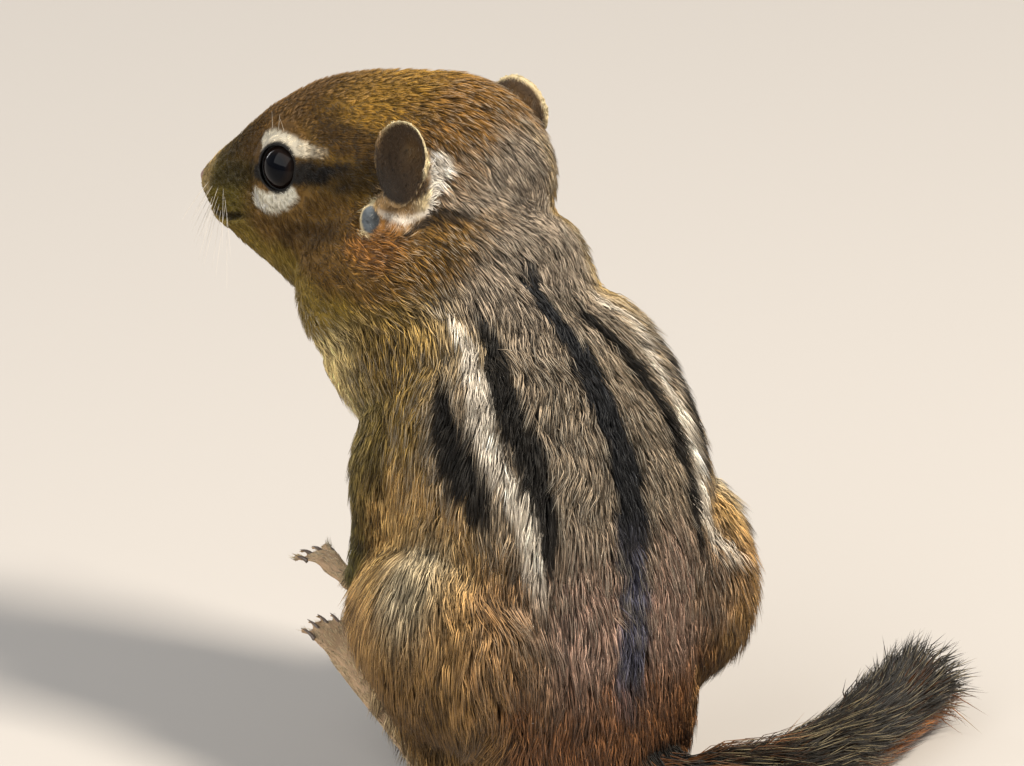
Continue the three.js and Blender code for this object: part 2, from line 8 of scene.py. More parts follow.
# %% Load the frame
import json
import math
import bpy
import numpy as np
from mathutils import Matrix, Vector
from mathutils.kdtree import KDTree

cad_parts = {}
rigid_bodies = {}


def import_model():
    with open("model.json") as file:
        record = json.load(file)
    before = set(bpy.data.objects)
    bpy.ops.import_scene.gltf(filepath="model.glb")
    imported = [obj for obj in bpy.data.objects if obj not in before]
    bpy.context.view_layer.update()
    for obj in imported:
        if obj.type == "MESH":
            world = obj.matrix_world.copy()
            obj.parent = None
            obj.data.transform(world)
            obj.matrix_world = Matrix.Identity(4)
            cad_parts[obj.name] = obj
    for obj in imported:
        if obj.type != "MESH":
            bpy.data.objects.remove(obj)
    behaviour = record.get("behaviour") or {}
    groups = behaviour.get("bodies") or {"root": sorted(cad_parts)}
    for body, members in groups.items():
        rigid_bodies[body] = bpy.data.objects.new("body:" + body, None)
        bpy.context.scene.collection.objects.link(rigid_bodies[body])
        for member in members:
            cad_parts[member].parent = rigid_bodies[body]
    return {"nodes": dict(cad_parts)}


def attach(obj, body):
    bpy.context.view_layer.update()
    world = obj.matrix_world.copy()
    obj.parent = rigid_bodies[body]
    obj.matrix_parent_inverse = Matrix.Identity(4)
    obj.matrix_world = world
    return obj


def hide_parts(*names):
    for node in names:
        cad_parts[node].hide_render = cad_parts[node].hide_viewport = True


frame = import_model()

# A fresh Blender may hold its own cube, light and camera, which are no part of this scene.
for leftover in ("Cube", "Light", "Camera"):
    if leftover in bpy.data.objects:
        bpy.data.objects.remove(bpy.data.objects[leftover])

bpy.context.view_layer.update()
MM = 0.001
RANDOM = np.random.default_rng(11)


# %% [markdown]
# ## The camera
#
# The photo was taken from far away through a long lens, from behind the animal's left shoulder and a
# little above. A long lens keeps parallel edges parallel, so the outline can be compared with the photo.
# Ten pixels of the 1024 x 766 frame are one millimetre.

# %% Camera
PIXELS_PER_MM = 10
IMAGE = (1024, 766)
SEAT_PIXEL = (560, 795)  # where the origin falls in the frame, just below its lower edge
AZIMUTH, ELEVATION = 145, 20  # degrees round from the animal's front towards its left, and up
CAMERA_DISTANCE = 2.0
SENSOR = 36


def direction_to(azimuth, elevation):
    """The unit direction from the animal to a place at that azimuth and elevation, in degrees."""
    turned, raised = math.radians(azimuth), math.radians(elevation)
    level = math.cos(raised)
    return Vector((math.sin(turned) * level, -math.cos(turned) * level, math.sin(raised)))


towards_camera = direction_to(AZIMUTH, ELEVATION)
right = Vector((math.cos(math.radians(AZIMUTH)), math.sin(math.radians(AZIMUTH)), 0))
up = towards_camera.cross(right)
across = (IMAGE[0] / 2 - SEAT_PIXEL[0]) / PIXELS_PER_MM * MM
above = (SEAT_PIXEL[1] - IMAGE[1] / 2) / PIXELS_PER_MM * MM
aim = right * across + up * above

bpy.ops.object.select_all(action="DESELECT")
bpy.ops.object.camera_add(location=aim + towards_camera * CAMERA_DISTANCE)
camera = bpy.context.object
camera.rotation_euler = towards_camera.to_track_quat("Z", "Y").to_euler()
camera.data.sensor_width = SENSOR
camera.data.lens = SENSOR * CAMERA_DISTANCE / (IMAGE[0] / PIXELS_PER_MM * MM)
camera.data.clip_end = 20
bpy.context.scene.camera = camera
print("lens:", round(camera.data.lens), "mm")

# %% [markdown]
# ## Where things are on the animal
#
# The head has directions of its own: out to its left, back from the nose tip, and up. The legs, neck and
# tail are followed by lines through their middles. These are the sizes that the solids were built from,
# and they place the eyes, the claws, the stripes and the lie of the coat.

# %% Landmarks, in millimetres
NOSE_TIP = np.array((13.2, -43.4, 55.5))
HEAD_TURN, HEAD_TILT = math.radians(22), math.radians(-3)
turn = np.array(((math.cos(HEAD_TURN), -math.sin(HEAD_TURN), 0),
                 (math.sin(HEAD_TURN), math.cos(HEAD_TURN), 0),
                 (0, 0, 1)))
tilt = np.array(((math.cos(HEAD_TILT), 0, math.sin(HEAD_TILT)),
                 (0, 1, 0),
                 (-math.sin(HEAD_TILT), 0, math.cos(HEAD_TILT))))
HEAD_AXES = turn @ tilt


def in_head(out, back, up_):
    """A place given in the head's own directions, in the solids' frame."""
    return NOSE_TIP + HEAD_AXES @ np.array((out, back, up_), float)


def from_head(points):
    """Places in the solids' frame, as (out, back, up) in the head's own directions."""
    return (points - NOSE_TIP) @ HEAD_AXES


SIDES = {"left": 1, "right": -1}
EYE = {"out": 5.1, "back": 14.1, "up": 5.25, "radius": 3.1, "wide": 2.2, "high": 2.25}
EYE_FORWARD, EYE_RAISED = math.radians(8), math.radians(7)
EAR = {"out": 10.95, "back": 30.3, "up": 10.1, "half": 3.5, "top": 4.2, "bottom": 4.9}
LOBE = {"out": 10.7, "back": 27.3, "up": 3.7}
ARM = {"left": [(9.2, -11.5, 42), (13.2, -10.6, 35), (13.6, -11.2, 29), (13.4, -14.6, 23), (13, -17.3, 20.1)],
       "right": [(-9.2, -11.5, 41), (-12.6, -11.8, 34), (-12.8, -13, 28), (-11.4, -18.2, 23.2),
                 (-10.4, -21.4, 21)]}
THIGH = {"left": [(12.6, 5.6, 17.6), (13.2, -2.4, 20.2), (13.8, -9.8, 19.8)],
         "right": [(-12.2, 6.6, 20.2), (-12.8, -0.6, 22.4), (-13.6, -8.6, 20.4)]}
HEEL = {"left": (12.6, -1.5, 1.15), "right": (-12.4, -1.0, 1.3)}
TOES = {"left": (13.8, -19.2, 13.7), "right": (-14.5, -18.5, 1.05)}
FOREPAW_HEADING = {"left": (0.1, -0.95, 0.3), "right": (0.18, -0.95, 0.2)}
FOREPAW = {"long": 3.3, "wide": 1.75, "digits": 4, "digit": 3.0, "radius": 0.52, "claw": 1.3, "curl": 0.35,
           "spread": 0.26}
HINDFOOT = {"long": 19.5, "wide": 2.5, "digits": 5, "digit": 4.2, "radius": 0.7, "claw": 1.5, "curl": 0.1,
            "spread": 0.2}
TAIL = [(0, 6.0, 6.2), (-3.4, 10.2, 4.9), (-8.0, 12.9, 4.3), (-13.2, 16.6, 4.1), (-21.4, 16.3, 4.2),
        (-31.0, 10.9, 4.5), (-39.6, 6.1, 5.0), (-45.4, 2.8, 5.6)]
BRUSH = [3.2, 3.6, 3.9, 4.1, 4.3, 4.4, 4.2, 2.6]


def eye_axis(sign):
    """The direction an eye looks in."""
    return HEAD_AXES @ np.array((sign * math.cos(EYE_FORWARD) * math.cos(EYE_RAISED),
                                 -math.sin(EYE_FORWARD) * math.cos(EYE_RAISED), math.sin(EYE_RAISED)))


def eye_directions(sign):
    """An eye's axis, and the upright and level directions across its opening."""
    axis = eye_axis(sign)
    upright = HEAD_AXES[:, 2] - axis * (HEAD_AXES[:, 2] @ axis)
    upright /= np.linalg.norm(upright)
    return axis, upright, np.cross(upright, axis)


def round_eye(points, side):
    """How far places are from an eye's axis, in half widths of its opening, and how far out along it."""
    axis, upright, level_axis = eye_directions(SIDES[side])
    offset = points - EYE_CENTRES[side]
    return np.hypot(offset @ level_axis / EYE["wide"], offset @ upright / EYE["high"]), offset @ axis


EYE_CENTRES = {side: in_head(sign * EYE["out"], EYE["back"], EYE["up"]) for side, sign in SIDES.items()}
EAR_CENTRES = {side: in_head(sign * EAR["out"], EAR["back"], EAR["up"]) for side, sign in SIDES.items()}
print("eyes at", {side: centre.round(1).tolist() for side, centre in EYE_CENTRES.items()})

# %% [markdown]
# ## Regions of the coat
#
# Hair grows along the body from the nose to the tail and down the legs. Each region has a line that its
# hair follows, the reach of the region round that line, the length of its hair in millimetres and how
# steeply the hair stands, in degrees. Between regions these are mixed, so no border shows. The head has a
# rule of its own: its hair lies back and down, and gets longer from the nose to the nape.

# %% Regions
def paw_tip(root, heading, size):
    """The end of a paw's middle digit."""
    heading = np.array(heading, float)
    return np.array(root) + heading / np.linalg.norm(heading) * (size["long"] + size["digit"] + size["claw"])


REGIONS = [
    {"name": "muzzle", "line": [in_head(0, 0, 0), in_head(0, 8, 1)], "reach": 4.6, "hair": 0.85, "stand": 12},
    {"name": "face", "line": [in_head(0, 8, 1), in_head(0, 20, 3.5)], "reach": 8.6, "hair": 1.3,
     "stand": 14},
    {"name": "crown", "line": [in_head(0, 22, 5), in_head(0, 38, 6)], "reach": 11.0, "hair": 2.2,
     "stand": 18},
    {"name": "neck", "line": [(4.6, -17.8, 54), (2.2, -14.3, 47.5), (0.3, -8.5, 41.5)],
     "reach": 13.5, "hair": 3.7, "stand": 22},
    {"name": "trunk", "line": [(0, -5.5, 46), (0, -4, 36), (0, -3, 22), (0, -3, 2)], "reach": 17.0,
     "hair": 4.4, "stand": 20},
]
for side, sign in SIDES.items():
    knee = np.array(THIGH[side][2])
    foot_end = paw_tip(HEEL[side], np.subtract(TOES[side], HEEL[side]), HINDFOOT)
    hand_end = paw_tip(ARM[side][-1], FOREPAW_HEADING[side], FOREPAW)
    REGIONS += [
        {"name": "arm_" + side, "line": ARM[side][:4], "reach": 4.4, "hair": 2.6, "stand": 15},
        {"name": "hand_" + side, "line": [ARM[side][-1], hand_end], "reach": 1.7, "hair": 0.5, "stand": 6},
        {"name": "haunch_" + side, "line": [knee + (0, 6, 6), knee + (0, 7, -8)], "reach": 10.5, "hair": 4.6,
         "stand": 18},
        {"name": "foot_" + side, "line": [HEEL[side], foot_end], "reach": 2.4, "hair": 0.55, "stand": 6},
        {"name": "ear_" + side, "line": [EAR_CENTRES[side] + (0, 0, -5), EAR_CENTRES[side] + (0, 0, 4.5)],
         "reach": 4.0, "hair": 0.35, "stand": 5},
    ]
REGIONS.append({"name": "tail", "line": TAIL, "reach": 3.2, "hair": 7.5, "stand": 22})


REGION_EDGE = 7  # the higher, the narrower the mixing between two regions
HEAD_BACK = (0, 6, 12, 22, 32, 40)  # millimetres back from the nose tip
HEAD_HAIR = (0.7, 0.9, 1.1, 1.5, 2.2, 3.0)  # length of the hair there
LOBE_HAIR = 0.3  # the ear's lobe is nearly bare


def fade(values, start, end):
    """0 at start, 1 at end, and smooth between."""
    share = np.clip((values - start) / (end - start), 0, 1)
    return share * share * (3 - 2 * share)


def blend(colour, other, amount):
    """Mixes rows of colours with one colour or rows of them, by an amount for each row."""
    return colour + (np.asarray(other) - colour) * np.clip(amount, 0, 1)[:, None]


def along_line(points, line):
    """For each point: its distance from a line of points, and the line's direction there."""
    line = np.array(line, float)
    best = np.full(len(points), np.inf)
    heading = np.zeros_like(points)
    for start, end in zip(line[:-1], line[1:]):
        step = end - start
        share = np.clip((points - start) @ step / (step @ step), 0, 1)
        gap = np.linalg.norm(points - start - share[:, None] * step, axis=1)
        nearer = gap < best
        best[nearer] = gap[nearer]
        heading[nearer] = step / np.linalg.norm(step)
    return best, heading


def headness_of(points):
    """1 on the head and 0 on the neck and body, with the border under the ruff and behind the nape."""
    _, back, up_ = from_head(points).T
    border = np.interp(back, (0, 16, 22, 27, 33, 40), (-14, -13, -9.5, -6.5, -3.5, -1))
    return fade(up_ - border, -1.5, 1.5) * fade(back, 41, 36.5)


def coat_at(points):
    """Region weights, lie of the hair, its length and how steeply it stands, at points in millimetres."""
    weights, headings = [], []
    for region in REGIONS:
        gap, heading = along_line(points, region["line"])
        weights.append(np.exp(-REGION_EDGE * gap / region["reach"]))
        headings.append(heading)
    weights = np.array(weights) / np.sum(weights, axis=0)
    lie = np.einsum("rp,rpc->pc", weights, np.array(headings))
    hair = weights.T @ np.array([region["hair"] for region in REGIONS])
    stand = weights.T @ np.array([region["stand"] for region in REGIONS])
    out, back, up_ = from_head(points).T
    head = headness_of(points) * (1 - fade(weight_of(weights, "ear"), 0.3, 0.6))
    down = 0.2 + 0.7 * fade(back, 22, 38)
    lie = blend(lie, HEAD_AXES[:, 1] - down[:, None] * HEAD_AXES[:, 2], head * fade(back, 1, 4) * 0.9)
    hair = hair + (np.interp(back, HEAD_BACK, HEAD_HAIR) - hair) * head
    lobe = np.hypot(np.hypot(back - LOBE["back"], up_ - LOBE["up"]), np.abs(out) - LOBE["out"])
    return weights, lie, hair + (LOBE_HAIR - hair) * fade(lobe, 2.2, 1.5), stand


def weight_of(weights, *names):
    """The summed weight of the regions whose names start with any of these."""
    rows = [i for i, region in enumerate(REGIONS) if region["name"].startswith(names)]
    return weights[rows].sum(axis=0)


print("regions:", [region["name"] for region in REGIONS])

# %% [markdown]
# ## The skin
#
# The real skin is one sheet under the coat. The solids of flesh are copied, joined and fattened a
# little, so that a voxel remesh closes the fine gaps between them. Then the trunk and legs are smoothed
# more than the face and paws, and the thin ears hardly at all. Last, the surface is drawn in by the depth
# that the coat will take up.

# %% Copy and join the flesh
VOXEL = 0.26 * MM
FATTEN = 0.2 * MM
TAIL_FLESH = 0.42 * MM  # radius of the tail's flesh for each millimetre of the brush's
FLESH = [name for name in frame["nodes"] if not name.startswith(("eye", "nose", "tail"))]


def only(*objects):
    """Selects just these objects, the first of them active."""
    bpy.ops.object.select_all(action="DESELECT")
    for item in objects:
        item.select_set(True)
    bpy.context.view_layer.objects.active = objects[0]


def apply(item, kind, **settings):
    """Adds a modifier with its settings and applies it."""
    only(item)
    modifier = item.modifiers.new(kind.title(), kind)
    for name, value in settings.items():
        setattr(modifier, name, value)
    bpy.ops.object.modifier_apply(modifier=modifier.name)


def tail_core():
    """The tail's flesh: a tapering tube along its middle line."""
    data = bpy.data.curves.new("tail_core", "CURVE")
    data.dimensions = "3D"
    data.bevel_depth = TAIL_FLESH
    data.bevel_resolution = 3
    data.use_fill_caps = True
    spline = data.splines.new("NURBS")
    flesh = TAIL[:-1]  # the brush reaches on past the flesh
    spline.points.add(len(flesh) - 1)
    for point, place, radius in zip(spline.points, flesh, BRUSH):
        point.co = (*(v * MM for v in place), 1)
        point.radius = radius
    spline.use_endpoint_u = True
    spline.order_u = 4
    core = bpy.data.objects.new("tail_core", data)
    bpy.context.collection.objects.link(core)
    only(core)
    bpy.ops.object.convert(target="MESH")
    return bpy.context.object


def face_outwards(item, merge=None):
    """Turns a closed mesh's faces outwards, after merging the points nearer than the given distance."""
    only(item)
    bpy.ops.object.mode_set(mode="EDIT")
    bpy.ops.mesh.select_all(action="SELECT")
    if merge:
        bpy.ops.mesh.remove_doubles(threshold=merge)
    bpy.ops.mesh.normals_make_consistent(inside=False)
    bpy.ops.object.mode_set(mode="OBJECT")


core = tail_core()
only(*[frame["nodes"][name] for name in FLESH])
bpy.ops.object.duplicate()
copies = list(bpy.context.selected_objects)
bpy.ops.object.make_single_user(object=True, obdata=True)
bpy.ops.object.parent_clear(type="CLEAR_KEEP_TRANSFORM")
only(copies[0], *copies[1:], core)
bpy.ops.object.join()
skin = bpy.context.object
skin.name = "skin"
skin.data.name = "skin"
face_outwards(skin, merge=0.001 * MM)
apply(skin, "DISPLACE", strength=FATTEN, mid_level=0)
apply(skin, "REMESH", mode="VOXEL", voxel_size=VOXEL)
print("skin after remesh:", len(skin.data.polygons), "faces")


# %% Smooth the skin and draw it in
def places(item):
    """A mesh's vertices in millimetres."""
    flat = np.empty(len(item.data.vertices) * 3, np.float32)
    item.data.vertices.foreach_get("co", flat)
    return flat.reshape(-1, 3).astype(float) / MM


def move_to(item, points):
    """Sets a mesh's vertices from millimetres."""
    item.data.vertices.foreach_set("co", (points * MM).astype(np.float32).ravel())
    item.data.update()


def normals(item):
    """A mesh's vertex normals."""
    flat = np.empty(len(item.data.vertices) * 3, np.float32)
    item.data.vertex_normals.foreach_get("vector", flat)
    return flat.reshape(-1, 3).astype(float)


def weigh(item, name, weights):
    """A vertex group with a weight for each vertex, in steps of a twentieth."""
    group = item.vertex_groups.new(name=name)
    steps = np.round(np.clip(weights, 0, 1) * 20).astype(int)
    for step in range(1, 21):
        chosen = np.nonzero(steps == step)[0]
        if len(chosen):
            group.add(chosen.tolist(), step / 20, "REPLACE")


FINE_PARTS = ("muzzle", "face", "hand", "foot", "ear")
COAT_SHARE = 0.34  # how much of a hair's length the coat is deep
COAT_DEEPEST = 1.7
ROUND_EYES = {"reach": 4.8, "deepest": 0.25}  # the coat hardly sinks the skin next to the eyes
FLOOR_GAP = 0.05

weights, _, _, _ = coat_at(places(skin))
earness = fade(weight_of(weights, "ear"), 0.3, 0.6)
weigh(skin, "broad", 1 - np.clip(weight_of(weights, *FINE_PARTS) * 1.6, 0, 1))
weigh(skin, "all_but_ears", 1 - 0.75 * earness)
apply(skin, "SMOOTH", factor=0.5, iterations=4, vertex_group="all_but_ears")
apply(skin, "SMOOTH", factor=0.5, iterations=60, vertex_group="broad")

points = places(skin)
weights, _, hair, _ = coat_at(points)
furred = 1 - weight_of(weights, "tail")
depth = np.clip(COAT_SHARE * hair, 0, COAT_DEEPEST) * furred + FATTEN / MM
eye_gap = np.min([np.linalg.norm(points - centre, axis=1) for centre in EYE_CENTRES.values()], axis=0)
depth = np.where(eye_gap < ROUND_EYES["reach"], np.minimum(depth, ROUND_EYES["deepest"]), depth)
drawn = points - normals(skin) * depth[:, None]
drawn[:, 2] = np.maximum(drawn[:, 2], FLOOR_GAP)
move_to(skin, drawn)
apply(skin, "SMOOTH", factor=0.5, iterations=2, vertex_group="all_but_ears")
print("coat depth in mm:", depth.min().round(2), "to", depth.max().round(2))


# %% [markdown]
# ## The mouth
#
# A closed mouth shows as a fine crease under the whisker pads, from below the nose to a corner under the
# eye. The remesh is too coarse to keep the solids' groove, so the crease is pressed into the skin here.

# %% Press in the line of the mouth
MOUTH = [(1.5, -1.7), (3.4, -2.3), (5.6, -2.0), (8.0, -1.1)]  # back and up, in the head's directions
MOUTH_DEEP, MOUTH_SOFT = 0.45, 0.32  # depth of the crease, and how far it takes to run out
LIP = {"swell": 0.16, "below": 0.8, "soft": 0.45}  # the rounded lower lip
KEEP_SHARE = 0.26  # share of the skin's faces that are kept

points = places(skin)
out, back, up_ = from_head(points).T
line = np.array(MOUTH)
level = np.interp(back, line[:, 0], line[:, 1])
ahead = np.clip((line[-1, 0] + 0.6 - back) / 1.2, 0, 1)
press = MOUTH_DEEP * ahead * np.exp(-((up_ - level) / MOUTH_SOFT) ** 2)
lip = LIP["swell"] * ahead * np.exp(-((up_ - level + LIP["below"]) / LIP["soft"]) ** 2)
near_mouth = (back < 9) & (np.abs(out) < 8) & (np.abs(up_ - level) < 3)
move_to(skin, points + normals(skin) * np.where(near_mouth, lip - press, 0)[:, None])

weights, _, _, _ = coat_at(places(skin))
weigh(skin, "plain", 1 - 0.9 * np.clip(weight_of(weights, *FINE_PARTS) * 1.5, 0, 1))
apply(skin, "DECIMATE", ratio=KEEP_SHARE, vertex_group="plain", vertex_group_factor=2.0,
      use_collapse_triangulate=True)
skin.vertex_groups.clear()
print("skin:", len(skin.data.polygons), "triangles")

# %% [markdown]
# ## The markings
#
# A chipmunk has five dark stripes down its back with pale ones between the outer pairs, a rusty rump, and
# a dark line through each eye between two cream ones. They are worked out from places on the body, in the
# same function for skin and coat, so that the two always agree. Round the back, a place is told by its
# angle from the spine, which counts below zero on the animal's right. The colours are painted one over
# another, the broad grounds first and the fine lines last. They are linear, made from sRGB hex values by
# one function.

# %% Colours
def linear(hex_code):
    """An sRGB hex colour as linear red, green and blue."""
    channels = np.array([int(hex_code[i:i + 2], 16) for i in (0, 2, 4)]) / 255
    return np.where(channels <= 0.04045, channels / 12.92, ((channels + 0.055) / 1.055) ** 2.4)


COLOURS = {name: linear(code) for name, code in {
    # head
    "crown": "9b762a", "brow": "573c10", "crown_back": "8a6530", "nape": "a39482", "temple": "47310f",
    # The dark olive of the muzzle on this line is a faint line and partly painted shade.
    "cheek": "7f5e28", "rust": "9c6a30", "muzzle": "70601a", "muzzle_line_and_shade": "3a300f", "nose_hair": "b39a66",
    "cream": "efe7d2", "eye_line": "130c04", "white_patch": "f4ecdf", "lobe": "6f777d",
    # The ear rim's pale colour also serves as a painted highlight along the ear's rear and top edge.
    "ear_in": "443320", "ear_rim": "e6d3a8", "ear_back": "8d714a",
    # trunk and legs
    "shoulder": "a58f66", "back": "94846f", "low_back": "a28574", "low_side": "9a7850", "rump": "7f5634",
    "flank": "9a7d3c", "haunch": "bd9760", "haunch_top": "d6b06e", "haunch_grey": "c0b498",
    # The dark low haunch colour on this line is painted shade, and the throat's and arm's olive is partly
    # painted shade.
    "haunch_low": "563c17", "throat": "9d8233", "chest": "e4ca8a", "belly": "ddd2bd", "arm": "615b2e",
    "paw": "cbb28a", "skin_bare": "a5806c",
    # stripes
    # The two blue-greys on this line are painted sheen on the dark stripes.
    "dark": "070707", "blue_dark": "10161d", "blue_low_sheen": "5b5c70", "blue_sheen_tip": "a2a3bb", "pale": "dcd2c2",
    # tail, and the tips of banded hair
    "tail_top": "17130c", "tail_frost": "b5a57e", "tail_under": "8f5724", "pale_tip": "e6dcc8",
    # The darkest colour also serves as painted shade inside the ears.
    "dark_tip_and_shade": "0f0c09"}.items()}
# The trunk's middle line as (height, place along Y), which the angles are measured round.
STRIPE_SPINE = [(6, -2.8), (24, -2.95), (30, -3.3), (36, -4.05), (41, -5.3), (46, -7.2), (52, -9.5)]
# Each path gives (height, angle from the spine, half width as an angle), and the ends are heights.
STRIPES = [
    {"colour": "blue_dark", "path": [(10, 2, 5), (24, 1, 6), (34, -0.5, 6.5), (42, -0.5, 6.5), (47, 0, 5.5),
                                     (50.5, 4, 5), (53, 12, 4)], "ends": (13, 56)},
    {"colour": "dark", "path": [(28, 32.5, 2.5), (33.4, 32.9, 4.5), (38.2, 35.2, 6.5), (41, 37.5, 6.5),
                                (44.4, 41, 6), (48.4, 44.5, 5), (51, 51, 4)], "ends": (27, 52.5)},
    {"colour": "dark", "path": [(25, -34.5, 2.5), (33.9, -31, 3.5), (40, -30, 4), (45.6, -25.5, 4),
                                (49.6, -20, 3)], "ends": (25, 51)},
    {"colour": "pale", "path": [(26, 36, 2.5), (30.3, 38, 3), (33.4, 40, 4), (36.3, 43.5, 4.5), (39, 47.5, 5),
                                (41.2, 52, 5.2), (43, 54, 5), (45.5, 52.5, 4.6), (47.4, 56, 4.6),
                                (49.7, 61.5, 4.4), (51, 68, 4)], "ends": (25, 52)},
    {"colour": "pale", "path": [(27, -41, 3), (33, -39, 3.5), (38, -40, 4), (43, -40, 4), (49, -46, 4)],
     "ends": (25, 50)},
    {"colour": "dark", "path": [(33, 55, 3), (34.5, 57, 6), (36.8, 60, 8.5), (39.5, 64, 8), (42, 67, 6.5),
                                (44.8, 69, 4)], "ends": (31, 47)},
    {"colour": "dark", "path": [(33, -50, 4), (39.5, -54, 6), (45, -60, 4)], "ends": (32, 47)},
]


def wave(points, size, seed):
    """Smooth mottling between -1 and 1, with patches about that many millimetres across."""
    draw = np.random.default_rng(seed)
    total = np.zeros(len(points))
    for _ in range(5):
        direction = draw.normal(size=3)
        direction *= 2 * math.pi / (size * draw.uniform(1.4, 3.2) * np.linalg.norm(direction))
        total += np.sin(points @ direction + draw.uniform(0, 2 * math.pi))
    return total / 3.2


def paint(colour, name, amount):
    """Mixes one of the named colours into rows of colours."""
    return blend(colour, COLOURS[name], amount)


print("colours:", len(COLOURS), "stripes:", len(STRIPES))


# %% Markings of the trunk and legs
def round_body(points):
    """The signed angle of places from the spine, in degrees, and an uneven edge for the colours."""
    x, y, z = points.T
    spine_y = np.interp(z, *np.array(STRIPE_SPINE).T)
    uneven = wave(points, 3.0, 5) * 0.6 + wave(points, 1.1, 6) * 0.4
    return np.degrees(np.arctan2(x, y - spine_y)), uneven


def back_colour(points):
    """The ground of the back: grey above, pinkish low on the spine, rusty on the rump, olive on the flank."""
    z = points[:, 2]
    signed, uneven = round_body(points)
    angle = np.abs(signed)
    colour = np.tile(COLOURS["back"], (len(points), 1))
    low = fade(z + 2.5 * uneven, 34, 24)
    colour = paint(colour, "low_back", low * fade(angle + 4 * uneven, 50, 22))
    colour = paint(colour, "low_side", low * fade(angle + 4 * uneven, 26, 48))
    colour = paint(colour, "rump", fade(z + 2.5 * uneven, 20, 11))
    colour = paint(colour, "shoulder", fade(z + 1.5 * uneven, 43, 50) * fade(angle, 30, 60))
    colour = paint(colour, "nape", fade(z + 1.5 * uneven, 46, 54) * fade(angle, 75, 50))
    return paint(colour, "flank", fade(angle + 6 * uneven, 68, 86) * 0.9)


def haunch_over(colour, points, haunch):
    """Paints the haunches: golden, with a grey patch over the thigh, and painted shade low down."""
    _, y, z = points.T
    _, uneven = round_body(points)
    colour = paint(colour, "haunch", fade(haunch + 0.22 * uneven, 0.12, 0.75))
    colour = paint(colour, "haunch_top", haunch * fade(z - 0.25 * y + 2 * uneven, 23, 28) * 0.75)
    for side, sign in SIDES.items():
        middle = np.array(THIGH[side][1]) + (5.8 * sign, 3.2, 5.4)
        grey = np.exp(-(np.linalg.norm((points - middle) * (0.4, 1, 0.75), axis=1) / 4.2) ** 3)
        colour = paint(colour, "haunch_grey", grey * 0.9)
    # Painted shade: the haunch darkens low down and towards the rear.
    return paint(colour, "haunch_low", haunch * fade(z + 2.5 * uneven - 0.2 * y, 21, 10) * 0.85)


def stripes_over(colour, points, haunch):
    """Paints the stripes, with ragged edges, and stops them where the thigh begins."""
    z = points[:, 2]
    signed, uneven = round_body(points)
    off_thigh = 1 - fade(haunch + 0.1 * uneven, 0.5, 0.8)
    ragged = 1.5 * wave(points, 3.0, 5) + 1.3 * wave(points, 1.1, 6)
    for stripe in STRIPES:
        heights, angles, halves = np.array(stripe["path"], float).T
        middle, half = np.interp(z, heights, angles), np.interp(z, heights, halves)
        low, high = stripe["ends"]
        edge = fade(np.abs(signed - middle) + ragged, half * 1.35, half * 0.75)
        ends = fade(z + 2 * uneven, low - 2.5, low + 3.5) * fade(z + uneven, high + 1.5, high - 2)
        tint = np.tile(COLOURS[stripe["colour"]], (len(points), 1))
        # Low on the back the middle stripe is lightened with a painted blue-grey sheen.
        if stripe["colour"] == "blue_dark":
            tint = paint(tint, "blue_low_sheen", fade(z, 34, 24) * 0.8)
        on_back = fade(np.abs(signed), 100, 92)
        colour = blend(colour, tint, edge * ends * on_back * off_thigh * 0.97)
    return colour


def front_over(colour, points, weights):
    """Paints what faces forwards: chest, belly, arms and throat; the olive of the arms and throat is partly
    painted shade.
    """
    signed, uneven = round_body(points)
    angle = np.abs(signed)
    front = fade(angle + 5 * uneven, 104, 128)
    colour = paint(colour, "chest", front * weight_of(weights, "trunk", "neck"))
    belly = fade(angle + 7 * uneven, 118, 150) * fade(points[:, 2], 48, 36)
    colour = paint(colour, "belly", belly * weight_of(weights, "trunk", "haunch"))
    # The arm's dark olive is partly painted shade.
    colour = paint(colour, "arm", weight_of(weights, "arm"))
    neck = weight_of(weights, "neck")
    _, back, up_ = from_head(points).T
    colour = paint(colour, "chest", neck * fade(back - 0.25 * up_ + 1.5 * uneven, 33, 26))
    # The throat's olive under the head is partly painted shade.
    return paint(colour, "throat", neck * fade(back + 1.5 * uneven, 26, 18) * fade(up_, -14, -8))


def body_colour(points, weights):
    """Colours of the trunk, neck and limbs."""
    haunch = weight_of(weights, "haunch")
    colour = haunch_over(back_colour(points), points, haunch)
    return front_over(stripes_over(colour, points, haunch), points, weights)


# %% Markings of the head
def near_path(back, up_, path):
    """How far places are from a line of (back, up) points, seen from the side of the head."""
    side_view = np.column_stack((back, up_, np.zeros(len(back))))
    gap, _ = along_line(side_view, [(*point, 0) for point in path])
    return gap


def on_head(points):
    """Places as distances outwards, back and up on the head, and an uneven edge for the colours."""
    out, back, up_ = from_head(points).T
    return np.abs(out), back, up_, wave(points, 2.0, 7) * 0.5


